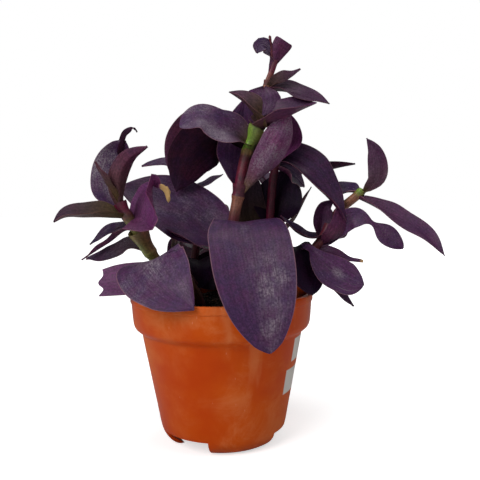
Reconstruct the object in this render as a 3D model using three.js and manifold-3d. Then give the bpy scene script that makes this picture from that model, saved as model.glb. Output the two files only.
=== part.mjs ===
// A purple tradescantia in a terracotta-coloured plastic nursery pot, in millimetres, +Z up.
// The origin is the centre of the pot's base, on the surface that the pot stands on.

import * as THREE from 'three';
import { mergeVertices } from 'three/addons/utils/BufferGeometryUtils.js';
import Module from 'manifold-3d';

const wasm = await Module();
wasm.setup();

// Pot
const potHeight = 86.7;
const rimRadius = 53.1;
const lipHeight = 4;
const collarRadius = 52.6;
const collarFootRadius = 51.6;
const collarFootHeight = 70;
const bodyTopRadius = 46.7;
const bodyTopHeight = 64.5;
const bodyFootRadius = 37.2;
const bodyFootHeight = 12;
const footRadius = 28.1;
const footWidth = 2.6;
const wall = 1.6;
const floorUnderside = 8.8;
const floorTop = 10.6;
const bossRadius = 6;
const notchHeight = 8.6;
const notchAngle = 49;
const notchCentres = [-128.5, -13.5, 114];
const drainRadius = 3.5;
const drainRing = 21;
const drainCount = 4;
const drainSides = 10;
const potSides = 48;

// Soil
const soilTop = 78;
const soilCrown = 1.5;
const seatGap = 0.3;
const rootDepth = 20;

// Stems and leaves
const stemSides = 7;
const bladeThickness = 0.7;
const baseHalfWidth = 2.2;
const tipHalfWidth = 0.4;
const widestAt = 0.4;
const tipCurve = 2.6;
const pinchAt = 0.62;
const pinchSpread = 0.1;

const rad = THREE.MathUtils.degToRad;
const lerp = THREE.MathUtils.lerp;

// A closed geometry as a solid that can be joined and cut
function solidOf(geometry) {
  const bare = geometry.clone();
  bare.deleteAttribute('normal');
  bare.deleteAttribute('uv');
  const merged = mergeVertices(bare, 1e-4);
  return new wasm.Manifold(new wasm.Mesh({
    numProp: 3,
    vertProperties: new Float32Array(merged.attributes.position.array),
    triVerts: new Uint32Array(merged.index.array),
  }));
}

function geometryOf(solid) {
  const mesh = solid.getMesh();
  const geometry = new THREE.BufferGeometry();
  geometry.setAttribute('position', new THREE.BufferAttribute(new Float32Array(mesh.vertProperties), 3));
  geometry.setIndex(new THREE.BufferAttribute(new Uint32Array(mesh.triVerts), 1));
  geometry.computeVertexNormals();
  return geometry;
}

function joined(solids) {
  return solids.reduce((all, one) => all.add(one));
}

// A profile of [radius, height] pairs turned about the pot's axis
function turned(profile, sides) {
  const points = profile.map(([r, z]) => new THREE.Vector2(r, z));
  const geometry = new THREE.LatheGeometry(points, sides);
  geometry.rotateX(Math.PI / 2);
  return solidOf(geometry);
}

function upright(radius, bottom, top, sides, x, y) {
  const geometry = new THREE.CylinderGeometry(radius, radius, top - bottom, sides);
  geometry.rotateX(Math.PI / 2);
  geometry.translate(x, y, (top + bottom) / 2);
  return solidOf(geometry);
}

// The pot: lip, collar, step, tapered body, rounded foot and raised floor in one moulding
const outerWall = [
  [footRadius, 0],
  [footRadius + 3.4, 1.4],
  [footRadius + 6.4, 4],
  [footRadius + 8.3, 7.6],
  [bodyFootRadius, bodyFootHeight],
  [bodyTopRadius, bodyTopHeight],
  [collarFootRadius, collarFootHeight],
  [collarRadius, potHeight - lipHeight - 0.6],
  [rimRadius, potHeight - lipHeight + 0.3],
  [rimRadius, potHeight - 0.7],
  [rimRadius - 0.7, potHeight],
];
const rimInnerRadius = rimRadius - 2.9;
const innerWall = [
  [rimInnerRadius, potHeight],
  [collarFootRadius - wall, collarFootHeight + 0.6],
  [bodyTopRadius - wall, bodyTopHeight + 0.6],
  [bodyFootRadius - wall + 0.5, bodyFootHeight + 3.4],
  [footRadius + 6.6, floorTop + 2],
  [footRadius + 4.2, floorTop],
  [0, floorTop],
];
const underside = [
  [0, 0],
  [bossRadius, 0],
  [bossRadius + 1.5, floorUnderside],
  [footRadius + 6.5, floorUnderside],
  [footRadius + 4.3, 4.9],
  [footRadius + 0.7, 2.1],
  [footRadius - footWidth, 0],
];

function makePot() {
  const shell = turned([...underside, ...outerWall, ...innerWall], potSides);
  const notches = notchCentres.map((centre) => {
    const wedge = new THREE.Shape();
    const reach = bodyFootRadius + 4;
    wedge.moveTo(0, 0);
    wedge.lineTo(reach * Math.cos(rad(notchAngle / 2)), -reach * Math.sin(rad(notchAngle / 2)));
    wedge.absarc(0, 0, reach, rad(-notchAngle / 2), rad(notchAngle / 2), false);
    const geometry = new THREE.ExtrudeGeometry(wedge, {
      depth: notchHeight + 4,
      steps: 1,
      curveSegments: 8,
      bevelEnabled: false,
    });
    geometry.translate(0, 0, -4);
    geometry.rotateZ(rad(centre));
    return solidOf(geometry);
  });
  const drains = Array.from({ length: drainCount }, (_, i) => {
    const angle = rad(45 + (360 * i) / drainCount);
    const [x, y] = [drainRing * Math.cos(angle), drainRing * Math.sin(angle)];
    return upright(drainRadius, -1, floorTop + 1, drainSides, x, y);
  });
  const middle = upright(footRadius - footWidth, -5, notchHeight + 1, potSides, 0, 0);
  return shell.subtract(joined(notches).subtract(middle)).subtract(joined(drains));
}

// One leaf. rib runs from the stem to the tip. heading is the compass direction that the leaf
// grows out in (0 = +X, 90 = +Y), roll lifts its left margin, fold closes it along the rib, and
// sides scales its left and right halves. The last three are given at the base, middle and tip.
function atThird([base, middle, tip], t) {
  const u = t < 0.5 ? t * 2 : t * 2 - 1;
  const smooth = u * u * (3 - 2 * u);
  return t < 0.5 ? lerp(base, middle, smooth) : lerp(middle, tip, smooth);
}

// Half the width at share t of the rib. neck is the share that stays narrow, less than 0 for a
// base that clasps the stem. widest is the share with the full width, taper how late the blade
// narrows after it, blunt how wide it still is at the tip, and pinch how far a waist draws it in.
function halfWidth(t, form) {
  const { wide, widest = widestAt, blunt = 0, taper = tipCurve, pinch = 0, neck = 0 } = form;
  const full = wide / 2;
  if (t < widest) {
    const share = Math.max(t - neck, 0) / (widest - neck);
    return lerp(baseHalfWidth, full, Math.sin(share * Math.PI / 2));
  }
  const u = (t - widest) / (1 - widest);
  const pinched = 1 - pinch * Math.exp(-(((t - pinchAt) / pinchSpread) ** 2));
  return Math.max(full * pinched * (1 - (1 - blunt) * u ** taper), tipHalfWidth);
}

function leaf(form) {
  const { rib, heading, roll = [0, 0, 0], fold = [55, 30, 20], sides = [1, 1] } = form;
  const path = new THREE.CatmullRomCurve3(rib.map((p) => new THREE.Vector3(...p)), false, 'centripetal');
  const flat = new THREE.Vector3(-Math.sin(rad(heading)), Math.cos(rad(heading)), 0);
  const rings = THREE.MathUtils.clamp(Math.round(path.getLength() / 10), 4, 9);
  const points = [];
  for (let i = 0; i <= rings; i += 1) {
    const t = i / rings;
    const centre = path.getPointAt(t);
    const along = path.getTangentAt(t);
    const left = flat.clone().addScaledVector(along, -flat.dot(along)).normalize();
    left.applyAxisAngle(along, rad(atThird(roll, t)));
    const up = along.clone().cross(left);
    const lift = rad(atThird(fold, t));
    const half = halfWidth(t, form);
    const under = [];
    for (const side of [1, 0, -1]) {
      const reach = side === 0 ? 0 : half * (side > 0 ? sides[0] : sides[1]);
      const top = centre.clone()
        .addScaledVector(left, side * reach * Math.cos(lift))
        .addScaledVector(up, reach * Math.sin(lift));
      points.push(top);
      const depth = side === 0 ? bladeThickness / Math.max(Math.cos(lift), 0.6) : bladeThickness;
      const down = up.clone().multiplyScalar(side === 0 ? 1 : Math.cos(lift));
      down.addScaledVector(left, -side * Math.sin(lift));
      under.push(top.clone().addScaledVector(down, -depth));
    }
    points.push(...under);
  }
  return solidOf(bladeGeometry(points, rings));
}

// The skin round rings of six points: three on the upper face, three on the under face
function bladeGeometry(points, rings) {
  const index = [];
  const quad = (a, b, c, d) => index.push(a, b, c, a, c, d);
  const flipped = (a, b, c, d) => index.push(a, c, b, a, d, c);
  for (let i = 0; i < rings; i += 1) {
    const a = i * 6;
    const b = a + 6;
    quad(a, a + 1, b + 1, b);
    quad(a + 1, a + 2, b + 2, b + 1);
    flipped(a + 3, a + 4, b + 4, b + 3);
    flipped(a + 4, a + 5, b + 5, b + 4);
    quad(a + 3, a, b, b + 3);
    quad(a + 2, a + 5, b + 5, b + 2);
  }
  const end = rings * 6;
  flipped(0, 1, 4, 3);
  flipped(1, 2, 5, 4);
  quad(end, end + 1, end + 4, end + 3);
  quad(end + 1, end + 2, end + 5, end + 4);
  const geometry = new THREE.BufferGeometry();
  const positions = points.flatMap((p) => [p.x, p.y, p.z]);
  geometry.setAttribute('position', new THREE.Float32BufferAttribute(positions, 3));
  geometry.setIndex(index);
  return geometry;
}

// A length of stem: round tubes between joints, a swollen ring at each joint
function tube(points, radius) {
  const path = new THREE.CatmullRomCurve3(points.map((p) => new THREE.Vector3(...p)), false, 'centripetal');
  const section = new THREE.Shape();
  for (let i = 0; i <= stemSides; i += 1) {
    const angle = (2 * Math.PI * i) / stemSides;
    const [x, y] = [radius * Math.cos(angle), radius * Math.sin(angle)];
    if (i === 0) {
      section.moveTo(x, y);
    } else {
      section.lineTo(x, y);
    }
  }
  const steps = Math.max(2, Math.round(path.getLength() / 9));
  return solidOf(new THREE.ExtrudeGeometry(section, { extrudePath: path, steps, bevelEnabled: false }));
}

function knot([x, y, z], radius) {
  const geometry = new THREE.SphereGeometry(radius, 8, 5);
  geometry.rotateX(Math.PI / 2);
  geometry.translate(x, y, z);
  return solidOf(geometry);
}

function stem(runs) {
  const pieces = [];
  for (const { points, radius } of runs) {
    pieces.push(tube(points, radius), knot(points[points.length - 1], radius + 0.5));
  }
  return joined(pieces);
}

// The buried end of a stem, and the plain hole that it stands in
function root([x, y], radius) {
  return upright(radius, soilTop - rootDepth, soilTop + 4, stemSides * 2, x, y);
}

function rootHole([x, y], radius) {
  return upright(radius + seatGap, soilTop - rootDepth - seatGap, soilTop + 10, stemSides * 2, x, y);
}

// Every leafy stem: where it stands, the runs of its stem, and its leaves
const leafyStems = {
  stem_main: {
    foot: [2, 6],
    footRadius: 3.5,
    runs: [
      { points: [[2, 6, 79], [3, 4, 100], [6, 1, 119], [8, 0, 130], [10.5, 0, 142]], radius: 3.2 },
      { points: [[10.5, 0, 142], [13, 0, 156], [16.5, 0, 169]], radius: 3.2 },
      { points: [[16.5, 0, 169], [21, 0, 177], [26, 0, 186]], radius: 2.8 },
      { points: [[26, 0, 186], [26, 0, 196], [27.5, 0, 205]], radius: 1.9 },
      { points: [[27.5, 0, 205], [31, 0, 214], [33, 0, 220]], radius: 1.7 },
    ],
    leaves: [
      {
        rib: [
          [6, 0, 117], [9, -10, 125], [13, -22, 128], [15, -36, 120],
          [17, -48, 105], [20, -57, 86], [24, -59, 64],
        ],
        wide: 44, heading: 270, fold: [14, 5, 12], taper: 3.2, blunt: 0.15,
      },
      {
        rib: [[8, 2, 106], [-4, 6, 118], [-18, 8, 130.5], [-36, 8, 140], [-60, 6, 148.5]],
        wide: 43, heading: 180, roll: [-50, -55, -50], fold: [40, 12, 12],
      },
      {
        rib: [[6, 4, 103], [-9, -2, 112], [-31, -6, 124]],
        wide: 20, heading: 180, fold: [30, 10, 10],
      },
      {
        rib: [[14, -1.5, 144], [24, -8, 157], [32.5, -11.5, 172], [40, -9.5, 188]],
        wide: 20, heading: 290, fold: [50, 20, 20], widest: 0.58,
      },
      {
        rib: [[9, 2, 146], [11, 8, 163], [14, 8, 181], [15, 4.5, 198.5]],
        wide: 29, heading: 90, fold: [50, 20, 20], sides: [1, 0.75],
      },
      {
        rib: [[18, 0, 170], [10, -4, 177], [-1, -8, 181], [-11, -10, 185], [-22, -12, 181]],
        wide: 26, heading: 180, roll: [-45, -50, -40], fold: [50, 20, 15], blunt: 0.35,
      },
      {
        rib: [[16, 3, 168], [4, 8, 175], [-8, 9, 173], [-17, 9, 165], [-22, 9, 155], [-26, 8, 145]],
        wide: 31, heading: 180, roll: [20, 75, 90], fold: [40, 10, 10],
      },
      {
        rib: [[16, 4, 168], [2, 13, 178], [-13, 17, 185], [-22.5, 17, 177], [-26, 16, 164], [-26, 14, 149]],
        wide: 21, heading: 180, roll: [10, 60, 80], fold: [40, 10, 10],
      },
      {
        rib: [[22.6, -2, 179.5], [30, -7, 183], [38, -10, 186.5], [46, -11.5, 190.5], [54.5, -12, 194]],
        wide: 28, heading: 0, roll: [20, 22, 30], fold: [50, 50, 25], neck: -0.5, taper: 2.2,
      },
      {
        rib: [[24, -4, 181], [21, -8, 187.5], [14.8, -10, 194.5], [6, -10, 200.5]],
        wide: 22, heading: 180, roll: [-20, -30, -20], fold: [50, 38, 25], neck: -0.3,
      },
      {
        rib: [[26, -2, 203.5], [25.5, -4.5, 199], [24.5, -5, 192.5], [24, -5, 187]],
        wide: 21, heading: 270, fold: [20, 5, 10],
      },
      {
        rib: [[28, 0, 202], [37, -2, 202], [46, -4, 200], [54, -5, 197], [63, -6, 194]],
        wide: 20, heading: 0, roll: [20, 35, 30], fold: [50, 15, 15],
      },
      {
        rib: [[29, -1, 204], [34, -3, 207], [40, -4, 209.5], [46.5, -5, 213.5]],
        wide: 9.5, heading: 0, roll: [50, 60, 40], fold: [60, 20, 20], sides: [1.1, 0.5], taper: 1.5,
      },
      {
        rib: [[31, 0, 217], [30, -0.7, 222], [27.5, -2, 226.5], [24.5, -3.5, 227], [22, -5, 222.5]],
        wide: 9, heading: 180, roll: [0, -70, -80], fold: [50, 10, 20], taper: 4, neck: 0.2, widest: 0.6,
      },
      {
        rib: [[30.5, 0, 211], [31.5, -0.5, 217], [34, -1.2, 224], [37.6, -2.5, 230]],
        wide: 10.4, heading: 0, roll: [-60, -80, -80], fold: [50, 20, 20], sides: [1.25, 1],
        neck: 0.36, widest: 0.95, blunt: 0.85,
      },
    ],
    bracts: [{ points: [[30.6, -0.8, 219], [30.4, -1.5, 227], [29.4, -2, 233]], radius: 0.8 }],
  },
  stem_left: {
    foot: [-22, 2],
    footRadius: 3.5,
    runs: [
      { points: [[-22, 2, 79], [-25, 2, 88], [-33, 0, 99], [-41, -5, 111]], radius: 3.2 },
      { points: [[-41, -5, 111], [-47, -11, 124], [-53, -15, 134]], radius: 3.4 },
      { points: [[-53, -15, 134], [-56, -15, 140]], radius: 2.6 },
    ],
    leaves: [
      {
        rib: [[-52, -15, 131], [-61, -18, 132], [-74, -20, 132.5], [-84, -21, 132.5], [-91, -22, 130]],
        wide: 20, heading: 180, roll: [-15, -25, -20], fold: [60, 45, 30], taper: 4,
      },
      {
        rib: [[-56, -13, 134], [-62.5, -8, 145], [-62.5, -6, 157], [-58, -6, 167], [-53, -8, 174]],
        wide: 20, heading: 100, fold: [40, 5, 10], taper: 3.4, blunt: 0.3,
      },
      {
        rib: [[-55, -15, 134], [-56, -19, 149], [-51, -20, 162], [-39, -22, 170]],
        wide: 14, heading: 290, fold: [60, 40, 30],
      },
      {
        rib: [[-56, -16, 139], [-61, -21, 150], [-67, -24, 162]],
        wide: 6, heading: 230, fold: [60, 30, 20],
      },
      {
        rib: [[-57, -6, 166], [-55, -8, 174], [-52, -9, 179], [-47.5, -10, 180.5], [-46, -10, 178.5]],
        wide: 4, heading: 250, fold: [20, 15, 10],
      },
      {
        rib: [
          [-48.4, -14, 131], [-45.6, -18, 139], [-41.3, -22, 145.8],
          [-36, -25, 149], [-31, -26, 147.5],
        ],
        wide: 34, heading: 60, fold: [30, 25, 20], sides: [0.25, 1.2], widest: 0.3, neck: -0.6,
      },
      {
        rib: [[-33, -26, 148], [-29.5, -27.5, 145.5], [-28, -26.5, 141]],
        wide: 10, heading: 0, fold: [30, 40, 20], blunt: 0.5,
      },
      {
        rib: [[-49, -13, 126], [-65, 0, 123], [-77, 4, 115]],
        wide: 9, heading: 180, roll: [-40, -40, -40], fold: [50, 20, 20],
      },
      {
        rib: [[-45, -9, 120], [-54, -4, 124], [-66, 0, 116], [-82, 4, 106]],
        wide: 7, heading: 180, fold: [60, 60, 40],
      },
      {
        rib: [[-41, -5, 110], [-53, 0, 114], [-65, 3, 109], [-80, 8, 106]],
        wide: 13, heading: 180, roll: [-40, -40, -40], fold: [50, 20, 20],
      },
    ],
  },
  stem_front_left: {
    foot: [-12, -8],
    footRadius: 3,
    runs: [
      { points: [[-12, -8, 79], [-14, -10, 86], [-20, -12, 97], [-25, -7, 106]], radius: 2.7 },
      { points: [[-25, -7, 106], [-27, 4, 112], [-26, 16, 120], [-20, 27, 138], [-18, 29, 150]], radius: 2.4 },
    ],
    leaves: [
      {
        rib: [[-21, -11, 99], [-32, -20, 108], [-38, -31, 108], [-29, -46, 98], [-14, -55, 86]],
        wide: 40, heading: 270, roll: [14, 24, 4], fold: [25, 5, 12], neck: 0.12,
      },
      {
        rib: [[-20, -12, 95], [-31, -18, 96.5], [-46, -20, 97.5], [-66, -20, 95.5]],
        wide: 20, heading: 180, roll: [-60, -60, -60], fold: [40, 10, 10], blunt: 0.8,
      },
      {
        rib: [[-18, 29, 149], [-24, 30, 158], [-36, 33, 163], [-49, 34, 161]],
        wide: 13, heading: 180, roll: [-30, -30, -30], fold: [50, 20, 20],
      },
      {
        rib: [[-18, 29, 144], [-8, 30, 150], [2, 32, 155.5]],
        wide: 8, heading: 0, roll: [20, 30, 30], fold: [50, 20, 20],
      },
    ],
  },
  stem_right: {
    foot: [30, -6],
    footRadius: 3,
    runs: [
      { points: [[30, -6, 79], [34, -5, 86], [44, -2, 98], [57, -3, 114], [60, -3, 118]], radius: 2.8 },
      { points: [[60, -3, 118], [69, 1, 132], [79, -2, 141], [83, -4, 145]], radius: 2.6 },
    ],
    leaves: [
      {
        rib: [
          [80, -3, 140], [88, -8, 136], [100, -14, 129],
          [109.5, -18, 123], [118, -22, 115], [124, -24, 108],
        ],
        wide: 17, heading: 0, roll: [30, 42, 40], fold: [50, 18, 20], taper: 3.6,
      },
      {
        rib: [[83, -4, 143], [90, -6, 150], [91, -6, 158], [89, -6, 167], [84, -6, 174]],
        wide: 12.5, heading: 60, fold: [50, 20, 20],
      },
      {
        rib: [[81, -3, 143], [73, 8, 145], [62, 14, 145]],
        wide: 13, heading: 160, roll: [-30, -40, -40], fold: [50, 15, 20],
      },
      {
        rib: [
          [58, -3, 112], [66, -6, 121], [74, -10, 128.5], [81, -12, 128.5],
          [86.3, -13, 125.7], [96, -14, 117.5], [103.5, -14, 111.5],
        ],
        wide: 12.5, heading: 0, roll: [85, 80, 95], fold: [30, 10, 10], pinch: 0.78, taper: 5, blunt: 0.65,
      },
      {
        rib: [
          [48, -2.6, 103], [47, -9, 112.5], [50.9, -14, 111.5], [55.6, -19, 105.8],
          [62.2, -22, 99.5], [69.9, -24, 95.4], [78.4, -25, 92.2],
        ],
        wide: 21, heading: 340, roll: [25, 50, 50], fold: [40, 10, 10], blunt: 0.65, taper: 5,
        neck: 0.36, widest: 0.7,
      },
      {
        rib: [[44, -2, 98], [58, -4, 97], [68, -6, 87], [76.5, -8, 77.5]],
        wide: 9.5, heading: 0, roll: [40, 50, 50], fold: [50, 20, 10],
      },
      {
        rib: [[55, -3, 110], [63, -8, 109], [71, -10, 106], [81, -12, 104]],
        wide: 9, heading: 0, roll: [40, 40, 30], fold: [50, 20, 20], widest: 0.3, taper: 1.4, blunt: 0.12,
      },
      {
        rib: [[60, -3, 118], [51, -8, 118], [43, -12, 122], [34, -16, 131]],
        wide: 9, heading: 180, roll: [-20, -30, -20], fold: [60, 40, 30],
      },
      {
        rib: [[40, -2, 94], [42, -7, 112.5], [45, -12, 109.5], [48, -19, 98], [49.5, -26.5, 87.8]],
        wide: 20, heading: 300, fold: [50, 15, 15], sides: [1, 1.9], taper: 4, blunt: 0.5,
      },
      {
        rib: [[58, -3, 115], [59, -2, 126], [61, -3, 136], [66, -5, 139]],
        wide: 13, heading: 90, fold: [60, 30, 30],
      },
      {
        rib: [[58, -3, 113], [65, -9, 118], [68, -11, 126], [65, -12, 134]],
        wide: 16, heading: 290, fold: [50, 15, 20],
      },
    ],
  },
  stem_back_centre: {
    foot: [20, 16],
    footRadius: 2.8,
    runs: [
      { points: [[20, 16, 79], [24, 14, 88], [29, 11, 115], [30, 10, 132], [32, 9, 154], [34, 8, 163]], radius: 2.6 },
    ],
    leaves: [
      {
        rib: [
          [26, 14, 156], [33, 12, 163], [42, 7, 160.5],
          [51, -4, 152.5], [62, -11, 140], [71, -15, 127],
        ],
        wide: 34, heading: 340, roll: [35, 25, 0], fold: [50, 38, 30], sides: [1.05, 0.7],
        taper: 2.2, neck: -0.15,
      },
      {
        rib: [[34, 9, 160], [41, 12, 175], [41, 10, 191]],
        wide: 22, heading: 60, fold: [50, 20, 20],
      },
      {
        rib: [[33, 9, 158], [41, 12, 155], [51, 15, 147]],
        wide: 22, heading: 20, roll: [20, 45, 45], fold: [50, 20, 20],
      },
      {
        rib: [[30, 11, 120], [34, 14, 134], [38, 17, 148], [40, 18, 158]],
        wide: 31, heading: 75, fold: [50, 15, 20],
      },
      {
        rib: [[29, 12, 114], [19, 13, 126], [17, 13, 140], [20, 13, 154]],
        wide: 22, heading: 110, fold: [50, 20, 20], blunt: 0.3,
      },
    ],
  },
  stem_back_left: {
    foot: [-16, 26],
    footRadius: 3,
    runs: [
      { points: [[-16, 26, 79], [-17, 28, 95], [-15, 33, 112]], radius: 2.7 },
      { points: [[-15, 33, 112], [-12, 40, 122], [-11, 46, 132]], radius: 2.3 },
    ],
    leaves: [
      {
        rib: [[-16, 27, 87], [-30, 40, 92], [-44, 52, 88], [-52, 60, 74]],
        wide: 34, heading: 140, fold: [40, 15, 15],
      },
      {
        rib: [[-16, 26, 90], [-13, 16, 103], [-12, 4, 101], [-11, -8, 90]],
        wide: 22, heading: 300, fold: [45, 20, 15],
      },
      {
        rib: [[-15, 27, 86], [-9, 22, 94], [0, 21, 94], [8, 21, 86]],
        wide: 30, heading: 350, roll: [30, 50, 50], fold: [45, 15, 15],
      },
      {
        rib: [[-15, 31, 104], [-18, 50, 110], [-21, 66, 99], [-23, 76, 76]],
        wide: 34, heading: 105, fold: [40, 10, 15],
      },
      {
        rib: [[-15, 32, 110], [2, 42, 114], [14, 52, 104]],
        wide: 26, heading: 40, fold: [45, 20, 20],
      },
      {
        rib: [[-11, 45, 130], [-22, 54, 136], [-33, 60, 128]],
        wide: 22, heading: 140, fold: [50, 25, 20],
      },
      {
        rib: [[-11, 45, 130], [-5, 58, 132], [-2, 70, 120]],
        wide: 22, heading: 70, fold: [50, 25, 20],
      },
    ],
  },
  stem_back_right: {
    foot: [14, 34],
    footRadius: 3,
    runs: [
      { points: [[14, 34, 79], [18, 36, 96], [24, 36, 114]], radius: 2.7 },
      { points: [[24, 36, 114], [28, 34, 134], [31, 32, 150]], radius: 2.3 },
    ],
    leaves: [
      {
        rib: [[15, 34, 88], [34, 44, 98], [50, 50, 90], [60, 54, 72]],
        wide: 34, heading: 30, fold: [40, 15, 15],
      },
      {
        rib: [[22, 36, 108], [24, 54, 118], [24, 70, 108], [22, 80, 82]],
        wide: 38, heading: 90, fold: [40, 10, 15],
      },
      {
        rib: [[24, 36, 112], [36, 33, 116], [46, 31, 126], [57, 30, 147]],
        wide: 10, heading: 350, fold: [50, 30, 20],
      },
      {
        rib: [[31, 32, 148], [50, 31, 156], [85, 30, 161]],
        wide: 10, heading: 0, roll: [-45, -45, -45], fold: [50, 30, 20],
      },
      {
        rib: [[31, 32, 147], [20, 40, 158], [8, 48, 152]],
        wide: 20, heading: 150, fold: [50, 25, 20],
      },
      {
        rib: [[31, 32, 147], [34, 48, 156], [34, 64, 144]],
        wide: 26, heading: 85, fold: [50, 20, 20],
      },
    ],
  },
};

// The largest skin alone, which fills any hollow that leaves seal between them
function withoutHollows(solid) {
  return solid.decompose().reduce((largest, skin) => (skin.volume() > largest.volume() ? skin : largest));
}

function leafyStem({ foot, footRadius: radius, runs, leaves, bracts = [] }) {
  const parts = [root(foot, radius), stem(runs)];
  parts.push(...leaves.map(leaf));
  parts.push(...bracts.map(({ points, radius: thin }) => tube(points, thin)));
  return withoutHollows(joined(parts));
}

// The soil: a slightly domed fill, with a plain hole for each stem
function makeSoil() {
  const fill = turned([
    [0, floorTop + seatGap],
    [footRadius + 4, floorTop + seatGap],
    [footRadius + 6.2, floorTop + 2.3],
    [bodyFootRadius - wall - seatGap + 0.5, bodyFootHeight + 3.6],
    [bodyTopRadius - wall - seatGap, bodyTopHeight + 0.8],
    [collarFootRadius - wall - seatGap - 0.1, collarFootHeight + 0.9],
    [collarFootRadius - wall - seatGap + 0.1, soilTop],
    [30, soilTop + soilCrown * 0.7],
    [0, soilTop + soilCrown],
  ], potSides);
  const holes = Object.values(leafyStems).map(({ foot, footRadius: radius }) => rootHole(foot, radius));
  return fill.subtract(joined(holes));
}

const finishes = {
  pot: { color: 0xb95024, roughness: 0.45 },
  soil: { color: 0x1d1512, roughness: 1 },
  leaf: { color: 0x4b3255, roughness: 0.6 },
};

function piece(name, solid, finish) {
  const material = new THREE.MeshStandardMaterial({ ...finishes[finish], metalness: 0 });
  const mesh = new THREE.Mesh(geometryOf(solid), material);
  mesh.name = name;
  return mesh;
}

const plant = new THREE.Group();
plant.name = 'potted_tradescantia';
plant.add(piece('pot', makePot(), 'pot'));
plant.add(piece('soil', makeSoil(), 'soil'));
for (const [name, description] of Object.entries(leafyStems)) {
  plant.add(piece(name, leafyStem(description), 'leaf'));
}

export default plant;
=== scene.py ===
import bisect
import math
import random

import bpy
from mathutils import Matrix, Vector, noise


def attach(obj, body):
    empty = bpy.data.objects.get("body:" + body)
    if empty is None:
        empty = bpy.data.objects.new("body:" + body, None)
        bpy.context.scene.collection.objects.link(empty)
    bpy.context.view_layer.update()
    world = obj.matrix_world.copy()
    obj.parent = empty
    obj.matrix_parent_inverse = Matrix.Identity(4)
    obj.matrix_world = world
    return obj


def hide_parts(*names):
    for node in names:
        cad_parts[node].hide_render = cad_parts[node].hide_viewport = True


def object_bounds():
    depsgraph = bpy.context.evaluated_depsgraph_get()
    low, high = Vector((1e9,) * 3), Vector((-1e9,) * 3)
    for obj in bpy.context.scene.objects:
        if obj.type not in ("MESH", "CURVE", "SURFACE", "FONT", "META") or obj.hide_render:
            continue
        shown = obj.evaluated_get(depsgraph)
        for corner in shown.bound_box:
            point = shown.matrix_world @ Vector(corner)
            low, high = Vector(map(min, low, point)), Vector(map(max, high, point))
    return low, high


# A purple tradescantia in a terracotta-coloured plastic nursery pot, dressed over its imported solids
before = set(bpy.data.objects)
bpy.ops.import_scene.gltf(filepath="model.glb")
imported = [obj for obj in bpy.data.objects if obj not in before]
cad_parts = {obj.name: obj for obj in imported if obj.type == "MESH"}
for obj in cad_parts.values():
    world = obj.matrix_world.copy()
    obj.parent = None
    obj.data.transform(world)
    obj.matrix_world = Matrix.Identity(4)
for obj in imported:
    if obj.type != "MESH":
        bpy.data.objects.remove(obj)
cadLow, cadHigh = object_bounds()
mm = 0.001


def srgb(red, green, blue):
    # A colour as a paint chart gives it, 0 to 255, turned into the linear values that shaders take
    def linear(value):
        value /= 255
        return value / 12.92 if value <= 0.04045 else ((value + 0.055) / 1.055) ** 2.4
    return (linear(red), linear(green), linear(blue), 1.0)


def lerp(a, b, t):
    return a + (b - a) * t


def smoothStep(low, high, value):
    t = min(max((value - low) / (high - low), 0), 1)
    return t * t * (3 - 2 * t)


def bell(distance, spread):
    return math.exp(-((distance / spread) ** 2))


def atThird(values, t):
    # Base, middle and tip values, blended smoothly along a leaf
    base, middle, tip = values
    if t < 0.5:
        return lerp(base, middle, smoothStep(0, 0.5, t))
    return lerp(middle, tip, smoothStep(0.5, 1, t))


def startObject():
    if bpy.context.object and bpy.context.object.mode != "OBJECT":
        bpy.ops.object.mode_set(mode="OBJECT")
    bpy.ops.object.select_all(action="DESELECT")


def only(piece):
    startObject()
    piece.select_set(True)
    bpy.context.view_layer.objects.active = piece


def applyModifiers(piece):
    only(piece)
    for modifier in list(piece.modifiers):
        bpy.ops.object.modifier_apply(modifier=modifier.name)


def joinPieces(name, pieces):
    startObject()
    for piece in pieces:
        piece.select_set(True)
    bpy.context.view_layer.objects.active = pieces[0]
    bpy.ops.object.join()
    whole = bpy.context.object
    whole.name = name
    whole.data.name = name
    return whole


def keepInside(piece):
    # No vertex reaches past the solids' own box
    for vertex in piece.data.vertices:
        for i in range(3):
            vertex.co[i] = min(max(vertex.co[i], cadLow[i]), cadHigh[i])


# Materials
def feed(tree, socket, value):
    # Links another node's output to a socket, or sets the socket's own value
    if isinstance(value, bpy.types.NodeSocket):
        tree.links.new(value, socket)
    else:
        socket.default_value = value


def addNode(tree, kind, values=None, **settings):
    node = tree.nodes.new(kind)
    for name, value in settings.items():
        setattr(node, name, value)
    for name, value in (values or {}).items():
        feed(tree, node.inputs[name], value)
    return node


def mixColour(tree, factor, a, b, blend="MIX"):
    node = addNode(tree, "ShaderNodeMix", data_type="RGBA", blend_type=blend)
    for index, value in ((0, factor), (6, a), (7, b)):
        feed(tree, node.inputs[index], value)
    return node.outputs[2]


def maths(tree, operation, a, b=0.0, c=0.0, clamp=False):
    node = addNode(tree, "ShaderNodeMath", operation=operation, use_clamp=clamp)
    for index, value in enumerate((a, b, c)):
        feed(tree, node.inputs[index], value)
    return node.outputs[0]


def times(tree, first, *others):
    product = first
    for value in others:
        product = maths(tree, "MULTIPLY", product, value)
    return product


def mask(tree, value, low, high, bottom=0.0, top=1.0):
    node = addNode(tree, "ShaderNodeMapRange", {
        "Value": value, "From Min": low, "From Max": high, "To Min": bottom, "To Max": top,
    }, interpolation_type="SMOOTHSTEP")
    return node.outputs["Result"]


def noiseField(tree, vector, scale, detail=3.0, roughness=0.5, distortion=0.0):
    node = addNode(tree, "ShaderNodeTexNoise", {
        "Vector": vector, "Scale": scale, "Detail": detail,
        "Roughness": roughness, "Distortion": distortion,
    })
    return node.outputs["Fac"]


def dotField(tree, vector, scale):
    node = addNode(tree, "ShaderNodeTexVoronoi", {"Vector": vector, "Scale": scale, "Randomness": 1.0})
    return node.outputs["Distance"]


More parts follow.
